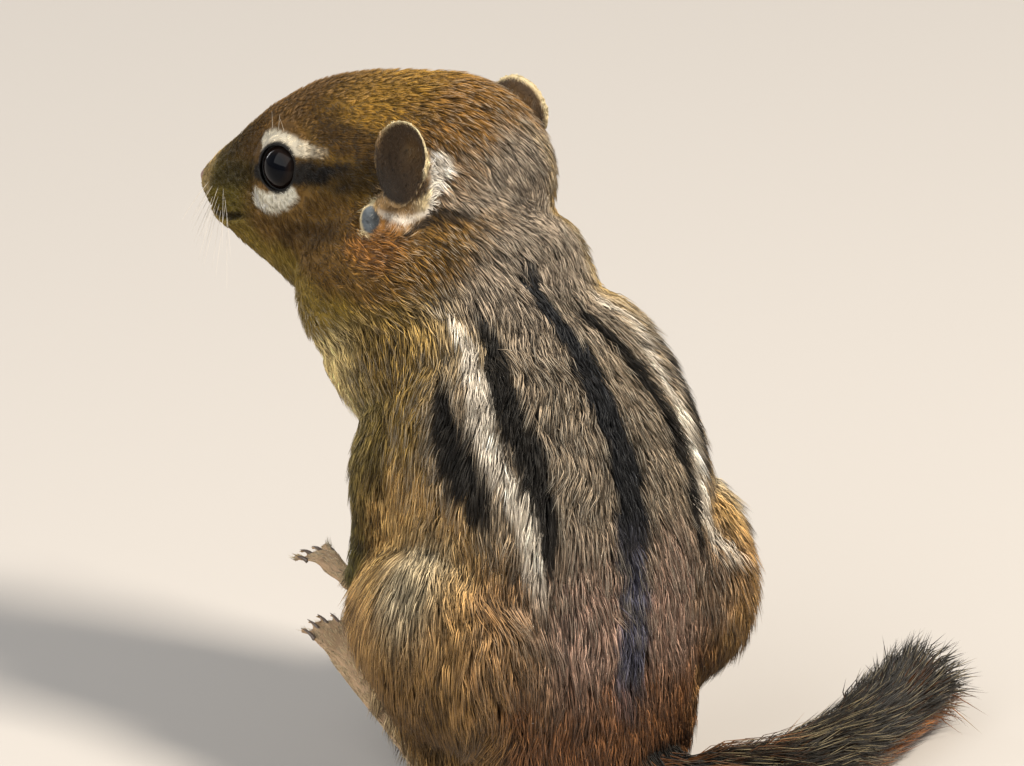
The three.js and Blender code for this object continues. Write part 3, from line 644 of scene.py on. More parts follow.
def crown_and_cheeks(points):
    """The ground of the head: golden crown, dark brow and temples, olive cheeks, muzzle and throat, with
    painted shade over the top of the muzzle and partly in the throat's olive.
    """
    out, back, up_, uneven = on_head(points)
    outer = fade(out, 2.0, 4.0)
    colour = np.tile(COLOURS["crown"], (len(points), 1))
    colour = paint(colour, "brow", fade(back + uneven - 0.3 * up_, 20, 11) * 0.95)
    colour = paint(colour, "crown_back", fade(back + 2 * uneven, 27, 32))
    colour = paint(colour, "nape", fade(back + 2 * uneven - 0.35 * (up_ - 6), 33, 38))
    dark_spots = np.clip(wave(points, 2.4, 31) - 0.55, 0, 1) * fade(back, 16, 24)
    colour = paint(colour, "temple", dark_spots * fade(up_, 9, 12))
    temple = fade(near_path(back, up_, [(19, 9.8), (23, 9.8), (26.5, 9.2)]) + uneven, 2.4, 0.9)
    colour = paint(colour, "temple", temple * outer * 0.9)
    colour = paint(colour, "cheek", fade(up_ + 0.6 * uneven, 5.6, 3.6) * outer)
    colour = paint(colour, "muzzle", fade(back, 11, 6.5) * fade(up_, 5.5, 2.0))
    # Painted shade over the top of the muzzle.
    colour = paint(colour, "muzzle_line_and_shade", fade(back, 10, 5) * fade(up_, 2.0, 3.6) * 0.7)
    # Under the jaw the throat's olive is partly painted shade.
    jaw = np.interp(back, (0, 8, 16, 24), (-1.6, -2.2, -3.2, -4.6))
    return paint(colour, "throat", fade(up_ + uneven, jaw + 1.4, jaw - 1.4) * fade(back, 34, 26))


def dark_lines_over(colour, points):
    """Paints the dark lines from the nose through the eye to the ear and under it, and the rusty cheek; the
    band from the nose to the eye is a faint line darkened further with painted shade.
    """
    out, back, up_, uneven = on_head(points)
    outer = fade(out, 2.0, 4.0)
    # A faint dark line from the nose to the eye, darkened further as painted shade along the muzzle's side.
    to_eye = near_path(back, up_, [(3.0, 1.7), (7.4, 3.0), (9.8, 4.0)])
    colour = paint(colour, "muzzle_line_and_shade", fade(to_eye + 0.4 * uneven, 1.7, 0.5) * outer * 0.8)
    eye_corner = near_path(back, up_, [(10.7, 4.2), (12.4, 4.6)])
    colour = paint(colour, "eye_line", fade(eye_corner, 1.1, 0.7) * outer)
    through = near_path(back, up_, [(15.5, 5.4), (17.5, 5.7), (21.5, 6.3), (25.5, 7.0), (28, 7.0)])
    strong = np.interp(back, (15, 19, 23, 28), (1.0, 0.97, 0.88, 0.65)) + 0.12 * wave(points, 1.2, 33)
    colour = paint(colour, "eye_line", fade(through + 0.8 * uneven, 2.3, 0.8) * outer * strong)
    below = near_path(back, up_, [(15, -1.6), (20, 0.4), (25, 2.0)])
    colour = paint(colour, "temple", fade(below + uneven, 1.5, 0.3) * outer * 0.7)
    rust = np.sqrt((0.4 * (out - 12.0)) ** 2 + (0.7 * (back - 29.0)) ** 2 + (1.1 * (up_ - 1.6)) ** 2)
    return paint(colour, "rust", fade(rust + 0.9 * uneven, 3.6, 1.1) * fade(out, 6, 9) * 0.9)


def pale_lines_over(colour, points):
    """Paints the cream lines above and below the eye, the pale hair round the nose, and the dark lips."""
    out, back, up_, uneven = on_head(points)
    outer = fade(out, 2.0, 4.0)
    above = near_path(back, up_, [(10.7, 7.4), (11.9, 8.0), (13.8, 8.1), (15.8, 7.9), (17.4, 8.0),
                                  (19.6, 8.2)])
    reach = np.interp(back, (10, 13, 16, 20), (0.45, 0.65, 0.5, 0.3))
    above = fade(above + 0.35 * uneven, reach + 0.45, reach) * fade(back, 23, 15)
    colour = paint(colour, "cream", above * outer * 0.72)
    under = near_path(back, up_, [(10.9, 1.4), (12.6, 1.3), (14.3, 2.1), (15.8, 3.2)])
    colour = paint(colour, "cream", fade(under + 0.35 * uneven, 1.3, 0.8) * outer)
    colour = paint(colour, "nose_hair", fade(back, 3.6, 2.0) * fade(up_, -1.2, 0.0) * 0.85)
    lips = near_path(back, up_, MOUTH)
    return paint(colour, "eye_line", fade(lips, 0.5, 0.2) * fade(back, 8.6, 7.4) * 0.8)


def below_ear_over(colour, points):
    """Paints the white patch behind the ear, a painted shadow of a fur fold below it, and the grey lobe in
    its pale rim.
    """
    out, back, up_, uneven = on_head(points)
    patch = near_path(back, up_, [(33.2, 8.8), (33, 7.5), (32.1, 6.2), (30.6, 5.3), (29.2, 5.0)])
    reach = np.interp(back, (29, 31, 33), (0.7, 1.4, 1.7))
    patch = fade(patch + 0.4 * uneven, reach + 0.5, reach - 0.2)
    colour = paint(colour, "white_patch", patch * fade(out, 6, 8))
    # A painted shadow of a fold of fur, as a dark streak below the white patch.
    fold_shadow = near_path(back, up_, [(32.3, 3.7), (34.7, 4.6), (36.8, 4.8)])
    colour = paint(colour, "eye_line", fade(fold_shadow + 0.2 * uneven, 0.75, 0.35) * fade(out, 6, 8) * 0.9)
    behind = back - LOBE["back"]
    lobe = np.hypot(behind / 1.3, (up_ - LOBE["up"]) / 1.75)
    rim = fade(lobe + 0.15 * uneven, 1.15, 0.95) * fade(behind, 1.0, -0.3)
    colour = paint(colour, "ear_rim", rim * fade(out, 8, 9.5))
    tint = np.outer(1 - 0.75 * fade(behind, 0.1, 0.9), COLOURS["lobe"])
    return blend(colour, tint, fade(lobe - 0.12 * behind, 0.86, 0.7) * fade(out, 8, 9.5))


def head_colour(points):
    """Colours of the head and ruff."""
    colour = dark_lines_over(crown_and_cheeks(points), points)
    return below_ear_over(pale_lines_over(colour, points), points)


def ear_over(colour, points, side, weights):
    """Paints one ear: dark and bare inside and darker at its front and bottom as painted shade, with a pale
    rim that is a painted highlight along the rear and top, and short brown hair behind.
    """
    sign = SIDES[side]
    out, back, up_ = (from_head(points) - np.array((sign * EAR["out"], EAR["back"], EAR["up"]))).T
    out = out * sign
    radial = np.hypot(back / EAR["half"], np.where(up_ > 0, up_ / EAR["top"], up_ / EAR["bottom"]))
    amount = fade(weight_of(weights, "ear_" + side), 0.3, 0.55)
    amount = amount * fade(out, -3.4, -2.6) * fade(radial, 1.3, 1.1)
    ear_in = np.tile(COLOURS["ear_in"], (len(points), 1))
    warm = fade(np.hypot((back - 0.8) / 1.9, (up_ - 0.6) / 2.6) + 0.3 * wave(points, 1.2, 41), 1.1, 0.4)
    ear_in = blend(ear_in, COLOURS["temple"] * 1.5, warm * 0.6)
    # Painted shade: the front and bottom of the ear's inside are darkened.
    ear_in = paint(ear_in, "dark_tip_and_shade", fade(up_ + back, -1.5, -5.0) * 0.8)
    inside = fade(out + 0.25 * radial, -2.4, -1.5) * fade(radial, 0.93, 0.85)
    ear = blend(np.tile(COLOURS["ear_back"], (len(points), 1)), ear_in, inside)
    # Painted highlight: the pale rim is painted only along the rear and top edge.
    ear = paint(ear, "ear_rim", fade(radial, 0.87, 0.93) * fade(back + 0.5 * up_, -2.0, 0.3))
    return blend(colour, ear, amount)


# %% The whole marking function
def markings(points):
    """The coat's colour at places in millimetres."""
    weights, _, _, _ = coat_at(points)
    colour = blend(body_colour(points, weights), head_colour(points), headness_of(points))
    for side in SIDES:
        colour = ear_over(colour, points, side, weights)
    colour = paint(colour, "paw", fade(weight_of(weights, "hand", "foot"), 0.45, 0.75))
    brush = paint(np.tile(COLOURS["tail_top"], (len(points), 1)), "tail_under", fade(points[:, 2], 4.4, 2.2))
    colour = blend(colour, brush, fade(weight_of(weights, "tail"), 0.4, 0.8))
    for side in SIDES:
        around, along = round_eye(points, side)
        colour = paint(colour, "dark_tip_and_shade", fade(around, 1.28, 1.1) * fade(along, 0.5, 1.5))
    return colour


print("colour of the spine:", markings(np.array([[0, 12.0, 30]])).round(3).tolist())


# %% [markdown]
# ## Colour and finish of the skin
#
# Under the coat the skin only shows where the hair parts, on the paws and in the ears. Its colour is kept
# as a point attribute, so it stays in place on the surface, and a fine bump gives it the grain of short
# underfur. The skin is also unwrapped, because every tuft gets its place on that map.

# %% Node helper and the skin's material
def add_node(tree, kind, links=(), **settings):
    """Adds a node, sets its inputs and properties by name, and links (output, its input's name) pairs."""
    node = tree.nodes.new(kind)
    for name, value in settings.items():
        if name in node.inputs:
            node.inputs[name].default_value = value
        else:
            setattr(node, name, value)
    for source, target in links:
        tree.links.new(source, node.inputs[target])
    return node


def new_material(name):
    """A material with an empty tree and an output, and that tree."""
    material = bpy.data.materials.new(name)
    material.use_nodes = True
    tree = material.node_tree
    tree.nodes.clear()
    return material, tree


def finish_with(tree, shader):
    """Links a shader to the material's output."""
    output = add_node(tree, "ShaderNodeOutputMaterial")
    tree.links.new(shader.outputs[0], output.inputs["Surface"])


def furred_skin():
    """Skin with close underfur: matt, with a fine uneven grain about 0.25 mm across."""
    material, tree = new_material("furred_skin")
    place = add_node(tree, "ShaderNodeTexCoord")
    colour = add_node(tree, "ShaderNodeAttribute", attribute_name="coat")
    grain = add_node(tree, "ShaderNodeTexNoise", [(place.outputs["Object"], "Vector")], Scale=1 / (0.25 * MM),
                     Detail=3.0)
    relief = add_node(tree, "ShaderNodeBump", [(grain.outputs["Fac"], "Height")], Strength=0.5,
                      Distance=0.08 * MM)
    shader = add_node(tree, "ShaderNodeBsdfPrincipled",
                      [(colour.outputs["Color"], "Base Color"), (relief.outputs["Normal"], "Normal")],
                      Roughness=0.75, IOR=1.45)
    shader.inputs["Specular IOR Level"].default_value = 0.3
    finish_with(tree, shader)
    return material


def store_colours(item, colours):
    """Keeps a linear colour for each vertex in the attribute that the coat's materials read."""
    attribute = item.data.attributes.new("coat", "FLOAT_COLOR", "POINT")
    values = np.ones((len(colours), 4), np.float32)
    values[:, :3] = np.clip(colours, 0, 1)
    attribute.data.foreach_set("color", values.ravel())


skin_points = places(skin)
skin_weights, _, _, _ = coat_at(skin_points)
bare = fade(weight_of(skin_weights, "hand", "foot"), 0.5, 0.8) * 0.45
underfur = blend(markings(skin_points) * (0.6 + 0.35 * bare)[:, None], COLOURS["skin_bare"], bare)
store_colours(skin, underfur)
skin.data.materials.clear()
skin.data.materials.append(furred_skin())
only(skin)
bpy.ops.object.shade_smooth()
bpy.ops.object.mode_set(mode="EDIT")
bpy.ops.mesh.select_all(action="SELECT")
bpy.ops.uv.smart_project(angle_limit=math.radians(66), island_margin=0.001)
bpy.ops.object.mode_set(mode="OBJECT")
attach(skin, "root")
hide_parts(*FLESH, "tail_base", "tail_end")
print("skin unwrapped:", skin.data.uv_layers.active.name)

# %% [markdown]
# ## The coat
#
# The hair is made as solid tufts, each a thin, three-sided blade that is closed at the root. Long tufts
# have a bend in them, and the short ones of the face, ears and paws are straight, which saves faces. Roots
# are scattered over the skin by area, closer where the hair is shorter. Each tuft follows the region's lie,
# lies flatter towards its tip and leans a little to the middle of its clump, which breaks the coat up into
# the small locks that real fur shows. Hairs are banded: dark at the root, coloured in the middle, and on
# many the tip is dark or pale. Roots are darker under long hair, which is painted shade deep in the coat.

# %% Where the tufts are rooted
DENSITY = {"muzzle": 60, "face": 46, "crown": 30, "neck": 16, "trunk": 15, "arm": 22, "hand": 42,
           "haunch": 16, "foot": 30, "ear": 40, "tail": 17}  # tufts to a square millimetre

mesh = skin.data
mesh.calc_loop_triangles()
corners = np.empty(len(mesh.loop_triangles) * 3, np.int32)
mesh.loop_triangles.foreach_get("vertices", corners)
corners = corners.reshape(-1, 3)
loops = np.empty(len(mesh.loop_triangles) * 3, np.int32)
mesh.loop_triangles.foreach_get("loops", loops)
uv = np.empty(len(mesh.loops) * 2, np.float32)
mesh.uv_layers.active.data.foreach_get("uv", uv)
uv = uv.reshape(-1, 2)[loops.reshape(-1, 3)]

triangle = skin_points[corners]
edges = triangle[:, 1] - triangle[:, 0], triangle[:, 2] - triangle[:, 0]
area = np.linalg.norm(np.cross(*edges), axis=1) / 2
per_region = np.array([DENSITY[region["name"].split("_")[0]] for region in REGIONS])
wanted = area * (per_region @ skin_weights)[corners].mean(axis=1)
count = int(wanted.sum())
face = RANDOM.choice(len(area), count, p=wanted / wanted.sum())
draws = RANDOM.random((count, 2))
fold = draws.sum(axis=1) > 1
draws[fold] = 1 - draws[fold]
shares = np.column_stack((1 - draws.sum(axis=1), draws))
roots = np.einsum("nk,nkc->nc", shares, triangle[face])
root_uv = np.einsum("nk,nkc->nc", shares, uv[face])
outward = np.einsum("nk,nkc->nc", shares, normals(skin)[corners[face]])
outward /= np.linalg.norm(outward, axis=1, keepdims=True)
print("skin area in square mm:", round(area.sum()), "tufts drawn:", count)

# %% Leave out what is bare
BARE_EYE = 1.1  # in half widths of the opening
BARE_NOSE = {"wide": 1.6, "high": 1.2, "up": 0.4, "long": 2.2}

weights, lie, hair, stand = coat_at(roots)
head_places = from_head(roots)
keep = np.ones(len(roots), bool)
for side in SIDES:
    around, along = round_eye(roots, side)
    keep &= (around > BARE_EYE) | (along < 0)
out, back, up_ = head_places.T
on_pad = np.hypot(out / BARE_NOSE["wide"], (up_ - BARE_NOSE["up"]) / BARE_NOSE["high"]) < 1
keep &= ~(on_pad & (back < BARE_NOSE["long"]))
keep &= ~((roots[:, 2] < 0.35) & (outward[:, 2] < -0.3))  # what rests on the floor
paws = weight_of(weights, "foot", "hand") > 0.5
keep &= ~(paws & (outward[:, 2] < -0.35))
roots, root_uv, outward, head_places = roots[keep], root_uv[keep], outward[keep], head_places[keep]
weights, lie, hair, stand = weights[:, keep], lie[keep], hair[keep], stand[keep]
print("tufts kept:", len(roots))

# %% The lie, length and lean of each tuft
SWIRL = {"size": 4.5, "strength": 0.26}  # slow turns of the lie, and how many millimetres apart
STRAY = 0.16  # how much single hairs differ in their lie
CLUMP = 14  # tufts that lean together
CLUMP_PULL = 0.52

for centre in EYE_CENTRES.values():
    away = roots - centre
    gap = np.linalg.norm(away, axis=1, keepdims=True)
    lie = lie + 1.6 * away / gap * fade(gap, 6.4, 4.0)
    hair = hair * (1 - 0.6 * fade(gap[:, 0], 5.6, 3.9))
swirl = np.column_stack([wave(roots, SWIRL["size"], 21 + axis) for axis in range(3)])
lie = lie / np.linalg.norm(lie, axis=1, keepdims=True) + SWIRL["strength"] * swirl
lie += RANDOM.normal(0, STRAY, roots.shape)
lie -= outward * np.sum(lie * outward, axis=1, keepdims=True)
lie /= np.linalg.norm(lie, axis=1, keepdims=True)
ends = weight_of(weights, "hand", "foot") * fade(outward @ np.array((0, -1, 0)), 0.3, 0.8)
hair = hair * RANDOM.uniform(0.72, 1.18, len(roots)) * (1 - 0.5 * ends)
lean = np.radians(stand) * RANDOM.uniform(0.6, 1.35, len(roots))
tail = fade(weight_of(weights, "tail"), 0.4, 0.8)


def direction(rise):
    """A unit direction along the lie, raised from the skin by an angle."""
    return lie * np.cos(rise)[:, None] + outward * np.sin(rise)[:, None]


middle = roots + direction(lean * 1.3) * (hair * 0.5)[:, None]
tip = middle + direction(lean * 0.35) * (hair * 0.5)[:, None]

chosen = RANDOM.choice(len(roots), len(roots) // CLUMP, replace=False)
tree = KDTree(len(chosen))
for i, place in enumerate(roots[chosen]):
    tree.insert(place, i)
tree.balance()
clump = np.array([tree.find(place)[1] for place in roots])
pull = CLUMP_PULL * (1 - 0.5 * tail)
tip = tip + pull[:, None] * (tip[chosen][clump] - tip)
middle = middle + 0.4 * pull[:, None] * (middle[chosen][clump] - middle)
print("clumps:", len(chosen))

# %% Colour along each tuft
colour = markings(middle + 0.4 * (tip - middle))
clump_tone = RANDOM.normal(1.04, 0.28, len(chosen))[clump] + 0.12 * wave(roots, 1.8, 51)
tone = np.clip(clump_tone * RANDOM.normal(1, 0.16, len(roots)), 0.45, 1.75)
kind = RANDOM.random(len(roots))

# Only the coloured hair is banded, and neither the dark stripes nor the cream.
bright = colour.sum(axis=1) / 3
banded = fade(bright, 0.02, 0.09) * (1 - fade(bright, 0.45, 0.65))
behind = fade(head_places[:, 1], 24, 36) + fade(head_places[:, 2], -3, -9)
greying = fade(roots[:, 2], 12, 30) * np.clip(behind, 0, 1) * (1 - weight_of(weights, "haunch", "arm"))
pale_hair = (kind > 0.8 - 0.14 * greying) * banded
dark_hair = (kind < 0.33) * banded
# Roots are dark as a hair's base is, and darker under longer hair as painted shade deep in the coat.
root_colour = colour * np.interp(hair, (0.5, 1.5, 4.0), (0.75, 0.5, 0.2))[:, None]
middle_colour = paint(colour * tone[:, None], "dark_tip_and_shade", dark_hair * 0.65)
tip_colour = paint(colour * (tone * 1.12)[:, None], "dark_tip_and_shade", dark_hair * 0.8)
pale_end = paint(np.clip(colour * 1.5 + 0.07, 0, 0.9), "pale_tip", greying)
tip_colour = blend(tip_colour, pale_end, pale_hair * (0.75 + 0.2 * greying))

# The dark stripes have a painted blue sheen on the tips of half their hairs, more so low on the back.
glossy = (1 - fade(bright, 0.02, 0.05)) * fade(np.abs(roots[:, 0]), 3, 1.5)
glossy = glossy * (RANDOM.random(len(roots)) < 0.5)
tip_colour = paint(tip_colour, "blue_sheen_tip", glossy * fade(roots[:, 2], 34, 18) * 0.8)

# The tail's hairs are rusty at the root, and some are frosted at the tip.
frosted = tail * (RANDOM.random(len(roots)) < 0.22)
rusty = tail * (RANDOM.random(len(roots)) < 0.6)
root_colour = blend(root_colour, COLOURS["tail_under"] * 0.8, rusty)
tip_colour = paint(tip_colour, "tail_frost", frosted)
print("mean colour:", colour.mean(axis=0).round(3))


# %% Build the tufts
BENT = {  # three points round the root, three round the bend, and the tip
    "faces": [(0, 2, 1), (0, 1, 4), (0, 4, 3), (1, 2, 5), (1, 5, 4), (2, 0, 3), (2, 3, 5), (3, 4, 6),
              (4, 5, 6), (5, 3, 6)],
    "patch": [(-1, -1), (-1, 0), (-1, 1), (0, -1), (0, 0), (0, 1), (1, 0)], "most": 19000}
STRAIGHT = {  # three points round the root, and the tip
    "faces": [(0, 2, 1), (0, 1, 3), (1, 2, 3), (2, 0, 3)],
    "patch": [(-1, -1), (-1, 1), (0, 0), (1, 0)], "most": 46000}
# "most" is how many tufts keep a piece under 200,000 triangles, and "patch" is a tuft's shape on the map.
BENT_FROM = 1.9  # shorter hairs are straight
PATCH_HALF = 0.0015  # half the size of that patch
ROOT_SUNK = 0.12
HAIR_LENGTHS = (0.4, 1.5, 3.0, 5.0, 8.0)
HAIR_WIDTHS = (0.07, 0.10, 0.13, 0.16, 0.18)
AROUND_HAIR = [math.radians(turned) for turned in (90, 210, 330)]


def build_tufts(name, form, part, finish):
    """One mesh of three-sided blades, each closed, with its colours and its patch on the skin's map."""
    root, bend, end = roots[part], middle[part], tip[part]
    count = len(part)
    first = bend - root
    first /= np.linalg.norm(first, axis=1, keepdims=True)
    side = np.cross(outward[part], first)
    side /= np.linalg.norm(side, axis=1, keepdims=True)
    rise = np.cross(first, side)
    points_each = len(form["patch"])
    vertices = np.empty((count, points_each, 3))
    for k, turned in enumerate(AROUND_HAIR):
        offset = (side * math.cos(turned) + 0.6 * rise * math.sin(turned)) * width[part][:, None] / 2
        vertices[:, k] = root - first * ROOT_SUNK + offset
        if form is BENT:
            vertices[:, 3 + k] = bend + offset * 0.8
    vertices[:, -1] = end
    vertices[:, :, 2] = np.maximum(vertices[:, :, 2], 0.03)
    faces = np.arange(count)[:, None, None] * points_each + np.array(form["faces"])[None]
    faces = faces.reshape(-1, 3)
    data = bpy.data.meshes.new(name)
    data.vertices.add(count * points_each)
    data.vertices.foreach_set("co", (vertices * MM).astype(np.float32).ravel())
    data.loops.add(len(faces) * 3)
    data.loops.foreach_set("vertex_index", faces.astype(np.int32).ravel())
    data.polygons.add(len(faces))
    data.polygons.foreach_set("loop_start", np.arange(0, len(faces) * 3, 3, dtype=np.int32))
    data.polygons.foreach_set("use_smooth", np.ones(len(faces), bool))
    data.update(calc_edges=True)
    item = bpy.data.objects.new(name, data)
    bpy.context.collection.objects.link(item)
    tones = [root_colour[part]] * 3 + [middle_colour[part]] * (points_each - 4) + [tip_colour[part]]
    store_colours(item, np.stack(tones, axis=1).reshape(-1, 3))
    patch = (root_uv[part][:, None] + np.array(form["patch"])[None] * PATCH_HALF).reshape(-1, 2)
    layer = data.uv_layers.new(name="OFBake")
    layer.data.foreach_set("uv", patch[faces.ravel()].astype(np.float32).ravel())
    data.materials.append(finish)
    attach(item, "root")
    return item


def hair_material():
    """Hair: keratin, IOR about 1.55, rough enough that its gloss is soft, with a little sheen from scales."""
    material, tree = new_material("banded_hair")
    colour = add_node(tree, "ShaderNodeAttribute", attribute_name="coat")
    shader = add_node(tree, "ShaderNodeBsdfPrincipled", [(colour.outputs["Color"], "Base Color")],
                      Roughness=0.55, IOR=1.55)
    shader.inputs["Specular IOR Level"].default_value = 0.22
    shader.inputs["Sheen Weight"].default_value = 0.05
    shader.inputs["Sheen Roughness"].default_value = 0.4
    finish_with(tree, shader)
    return material


HAIR = hair_material()
width = np.interp(hair, HAIR_LENGTHS, HAIR_WIDTHS)
is_tail = tail > 0.5
short = (hair < BENT_FROM) & ~is_tail
by_height = np.argsort(roots[:, 2])
triangles = 0
for label, form, chosen_tufts in (("coat", BENT, ~is_tail & ~short), ("short_coat", STRAIGHT, short),
                                  ("tail_coat", BENT, is_tail)):
    members = by_height[chosen_tufts[by_height]]
    for number, part in enumerate(np.array_split(members, math.ceil(len(members) / form["most"])), start=1):
        item = build_tufts(f"{label}_{number:02d}", form, part, HAIR)
        triangles += len(item.data.polygons)
        print(item.name, len(item.data.polygons), "triangles")
print("coat:", triangles, "triangles")


# %% [markdown]
# ## The eyes
#
# A chipmunk's eye is nearly black, large and bulging, with a wet clear cornea. A sphere is turned so that
# its pole looks out, and the cap round the pole is raised a little for the cornea. A dark bare rim follows
# the lids. Both sit in the skin's own sockets.

# %% Finishes of the eye and of bare skin
def wet_eye():
    """A dark iris behind a film of tears: IOR 1.34, as water has, so that it mirrors little."""
    material, tree = new_material("wet_dark_eye")
    tone = add_node(tree, "ShaderNodeAttribute", attribute_name="iris")
    colour = add_node(tree, "ShaderNodeMix", [(tone.outputs["Fac"], "Factor")], data_type="RGBA")
    for socket, hex_code in ((6, "04050a"), (7, "140d0a")):  # pupil and edge, then iris
        colour.inputs[socket].default_value = (*linear(hex_code), 1)
    shader = add_node(tree, "ShaderNodeBsdfPrincipled", [(colour.outputs[2], "Base Color")], Roughness=0.09,
                      IOR=1.34)
    shader.inputs["Specular IOR Level"].default_value = 0.2
    finish_with(tree, shader)
    return material


def bare_skin(name, hex_code, roughness, grain):
    """Moist hairless skin with fine pebbling of that many millimetres."""
    material, tree = new_material(name)
    place = add_node(tree, "ShaderNodeTexCoord")
    pebbles = add_node(tree, "ShaderNodeTexVoronoi", [(place.outputs["Object"], "Vector")],
                       Scale=1 / (grain * MM))
    relief = add_node(tree, "ShaderNodeBump", [(pebbles.outputs["Distance"], "Height")], Strength=0.5,
                      Distance=0.05 * MM)
    shader = add_node(tree, "ShaderNodeBsdfPrincipled", [(relief.outputs["Normal"], "Normal")],
                      Roughness=roughness, IOR=1.4)
    shader.inputs["Base Color"].default_value = (*linear(hex_code), 1)
    finish_with(tree, shader)
    return material


# %% Eyes
CORNEA_RISE = 0.22  # how far the pole of the ball is raised
TORUS_TUBE, LID_RIM = 0.1, 0.12  # radius of the torus's tube as it is added, and in the end
EYE_FINISH = wet_eye()
LID_FINISH = bare_skin("bare_lid_skin", "0c0a09", 0.7, 0.18)


def eyeball(side, sign):
    """A ball with a raised cornea, turned to look out."""
    bpy.ops.object.select_all(action="DESELECT")
    bpy.ops.mesh.primitive_uv_sphere_add(segments=48, ring_count=32, radius=EYE["radius"] * MM)
    eye = bpy.context.object
    eye.name = "eyeball_" + side
    local = places(eye)
    polar = local[:, 2] / EYE["radius"]
    local[:, 2] += CORNEA_RISE * fade(polar, 0.6, 1.0)
    move_to(eye, local)
    iris = eye.data.attributes.new("iris", "FLOAT", "POINT")
    iris.data.foreach_set("value", (fade(polar, 0.90, 0.86) * fade(polar, 0.6, 0.7)).astype(np.float32))
    bpy.ops.object.shade_smooth()
    eye.rotation_euler = Vector(eye_axis(sign)).to_track_quat("Z", "Y").to_euler()
    eye.location = Vector(EYE_CENTRES[side] * MM)
    only(eye)
    bpy.ops.object.transform_apply(location=True, rotation=True, scale=True)
    eye.data.materials.append(EYE_FINISH)
    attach(eye, "root")
    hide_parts("eye_" + side)
    return eye


def lid_rim(side, sign):
    """A thin ring that follows the lids' opening over the ball."""
    bpy.ops.object.select_all(action="DESELECT")
    bpy.ops.mesh.primitive_torus_add(major_segments=40, minor_segments=10, major_radius=MM,
                                     minor_radius=TORUS_TUBE * MM)
    rim = bpy.context.object
    rim.name = "lid_rim_" + side
    ring = places(rim)
    angle = np.arctan2(ring[:, 1], ring[:, 0])
    outwards = (np.hypot(ring[:, 0], ring[:, 1]) - 1) * LID_RIM / TORUS_TUBE
    forwards = ring[:, 2] * LID_RIM / TORUS_TUBE
    axis, upright, level_axis = eye_directions(sign)
    opening = np.outer(np.cos(angle) * EYE["wide"], level_axis)
    opening += np.outer(np.sin(angle) * EYE["high"], upright)
    bulge = np.sqrt((EYE["radius"] + 0.03) ** 2 - np.sum(opening ** 2, axis=1))
    spoke = opening / np.linalg.norm(opening, axis=1, keepdims=True)
    middle_of_rim = EYE_CENTRES[side] + opening + np.outer(bulge, axis)
    move_to(rim, middle_of_rim + spoke * outwards[:, None] + np.outer(forwards, axis))
    face_outwards(rim)
    bpy.ops.object.shade_smooth()
    rim.data.materials.append(LID_FINISH)
    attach(rim, "root")
    return rim


for side, sign in SIDES.items():
    print(eyeball(side, sign).name, "and", lid_rim(side, sign).name)

# %% [markdown]
# ## The nose
#
# The bare pad of the nose is a rounded lump with a comma-shaped nostril on each side and a cleft below.
# It is shaped from a sphere: the nostrils and the cleft are pressed in, point by point.

# %% Nose
NOSE = {"back": 1.3, "up": 0.4, "long": 1.4, "wide": 1.72, "high": 1.3}
NOSTRIL_DEEP, CLEFT_DEEP = 0.6, 0.22
bpy.ops.object.select_all(action="DESELECT")
bpy.ops.mesh.primitive_uv_sphere_add(segments=64, ring_count=48, radius=MM)
nose = bpy.context.object
nose.name = "nose_pad"
shape = places(nose)
unit = shape.copy()
shape *= (NOSE["wide"], NOSE["long"], NOSE["high"])
for sign in SIDES.values():
    nostril = np.array((sign * 0.62, -0.76, -0.12))
    nostril /= np.linalg.norm(nostril)
    gap = (unit - nostril) * (1, 1, 1.35)
    shape -= unit * NOSTRIL_DEEP * np.exp(-np.sum(gap ** 2, axis=1) / 0.07)[:, None]
cleft = np.exp(-(unit[:, 0] / 0.12) ** 2) * fade(-unit[:, 2], -0.25, 0.35) * fade(-unit[:, 1], 0.2, 0.6)
shape -= unit * CLEFT_DEEP * cleft[:, None]
shape += (0, NOSE["back"], NOSE["up"])
move_to(nose, NOSE_TIP + shape @ HEAD_AXES.T)
bpy.ops.object.shade_smooth()
nose.data.materials.append(bare_skin("moist_nose_skin", "7d5c4a", 0.42, 0.22))
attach(nose, "root")
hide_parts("nose")
print("nose:", len(nose.data.polygons), "faces")

# %% [markdown]
# ## The claws
#
# Each digit ends in a thin, curved, dark horn claw. Each is a cone that is cut into rings, bent downwards
# along its length and set on its digit, where it covers the solid's own claw. A paw's claws are one piece.

# %% Claws
def digit_ends(root, heading, size):
    """Where each digit of a paw ends, the direction it points in, and the paw's own up."""
    heading = np.array(heading, float)
    forward = heading / np.linalg.norm(heading)
    side_of = np.cross(forward, (0, 0, 1))
    side_of /= np.linalg.norm(side_of)
    upward = np.cross(side_of, forward)
    knuckles = np.array(root) + forward * size["long"]
    ends = []
    for i in range(size["digits"]):
        share = i / (size["digits"] - 1) * 2 - 1
        long = size["digit"] * (1 - 0.22 * share ** 2)
        pointing = forward + side_of * share * size["spread"]
        pointing /= np.linalg.norm(pointing)
        start = knuckles + side_of * share * (size["wide"] - size["radius"]) + pointing * long
        ends.append((start - upward * (size["curl"] - 0.1), pointing, upward))
    return ends


def claw_horn():
    """Horn: keratin, IOR 1.54, dark brown and polished by wear."""
    material, tree = new_material("claw_horn")
    shader = add_node(tree, "ShaderNodeBsdfPrincipled", Roughness=0.32, IOR=1.54)
    shader.inputs["Base Color"].default_value = (*linear("54453a"), 1)
    finish_with(tree, shader)
    return material


CLAW = {"root": 0.26, "tip": 0.03, "longer": 1.25, "sunk": 0.25, "droop": 0.4, "arch": 0.1}
HORN = claw_horn()


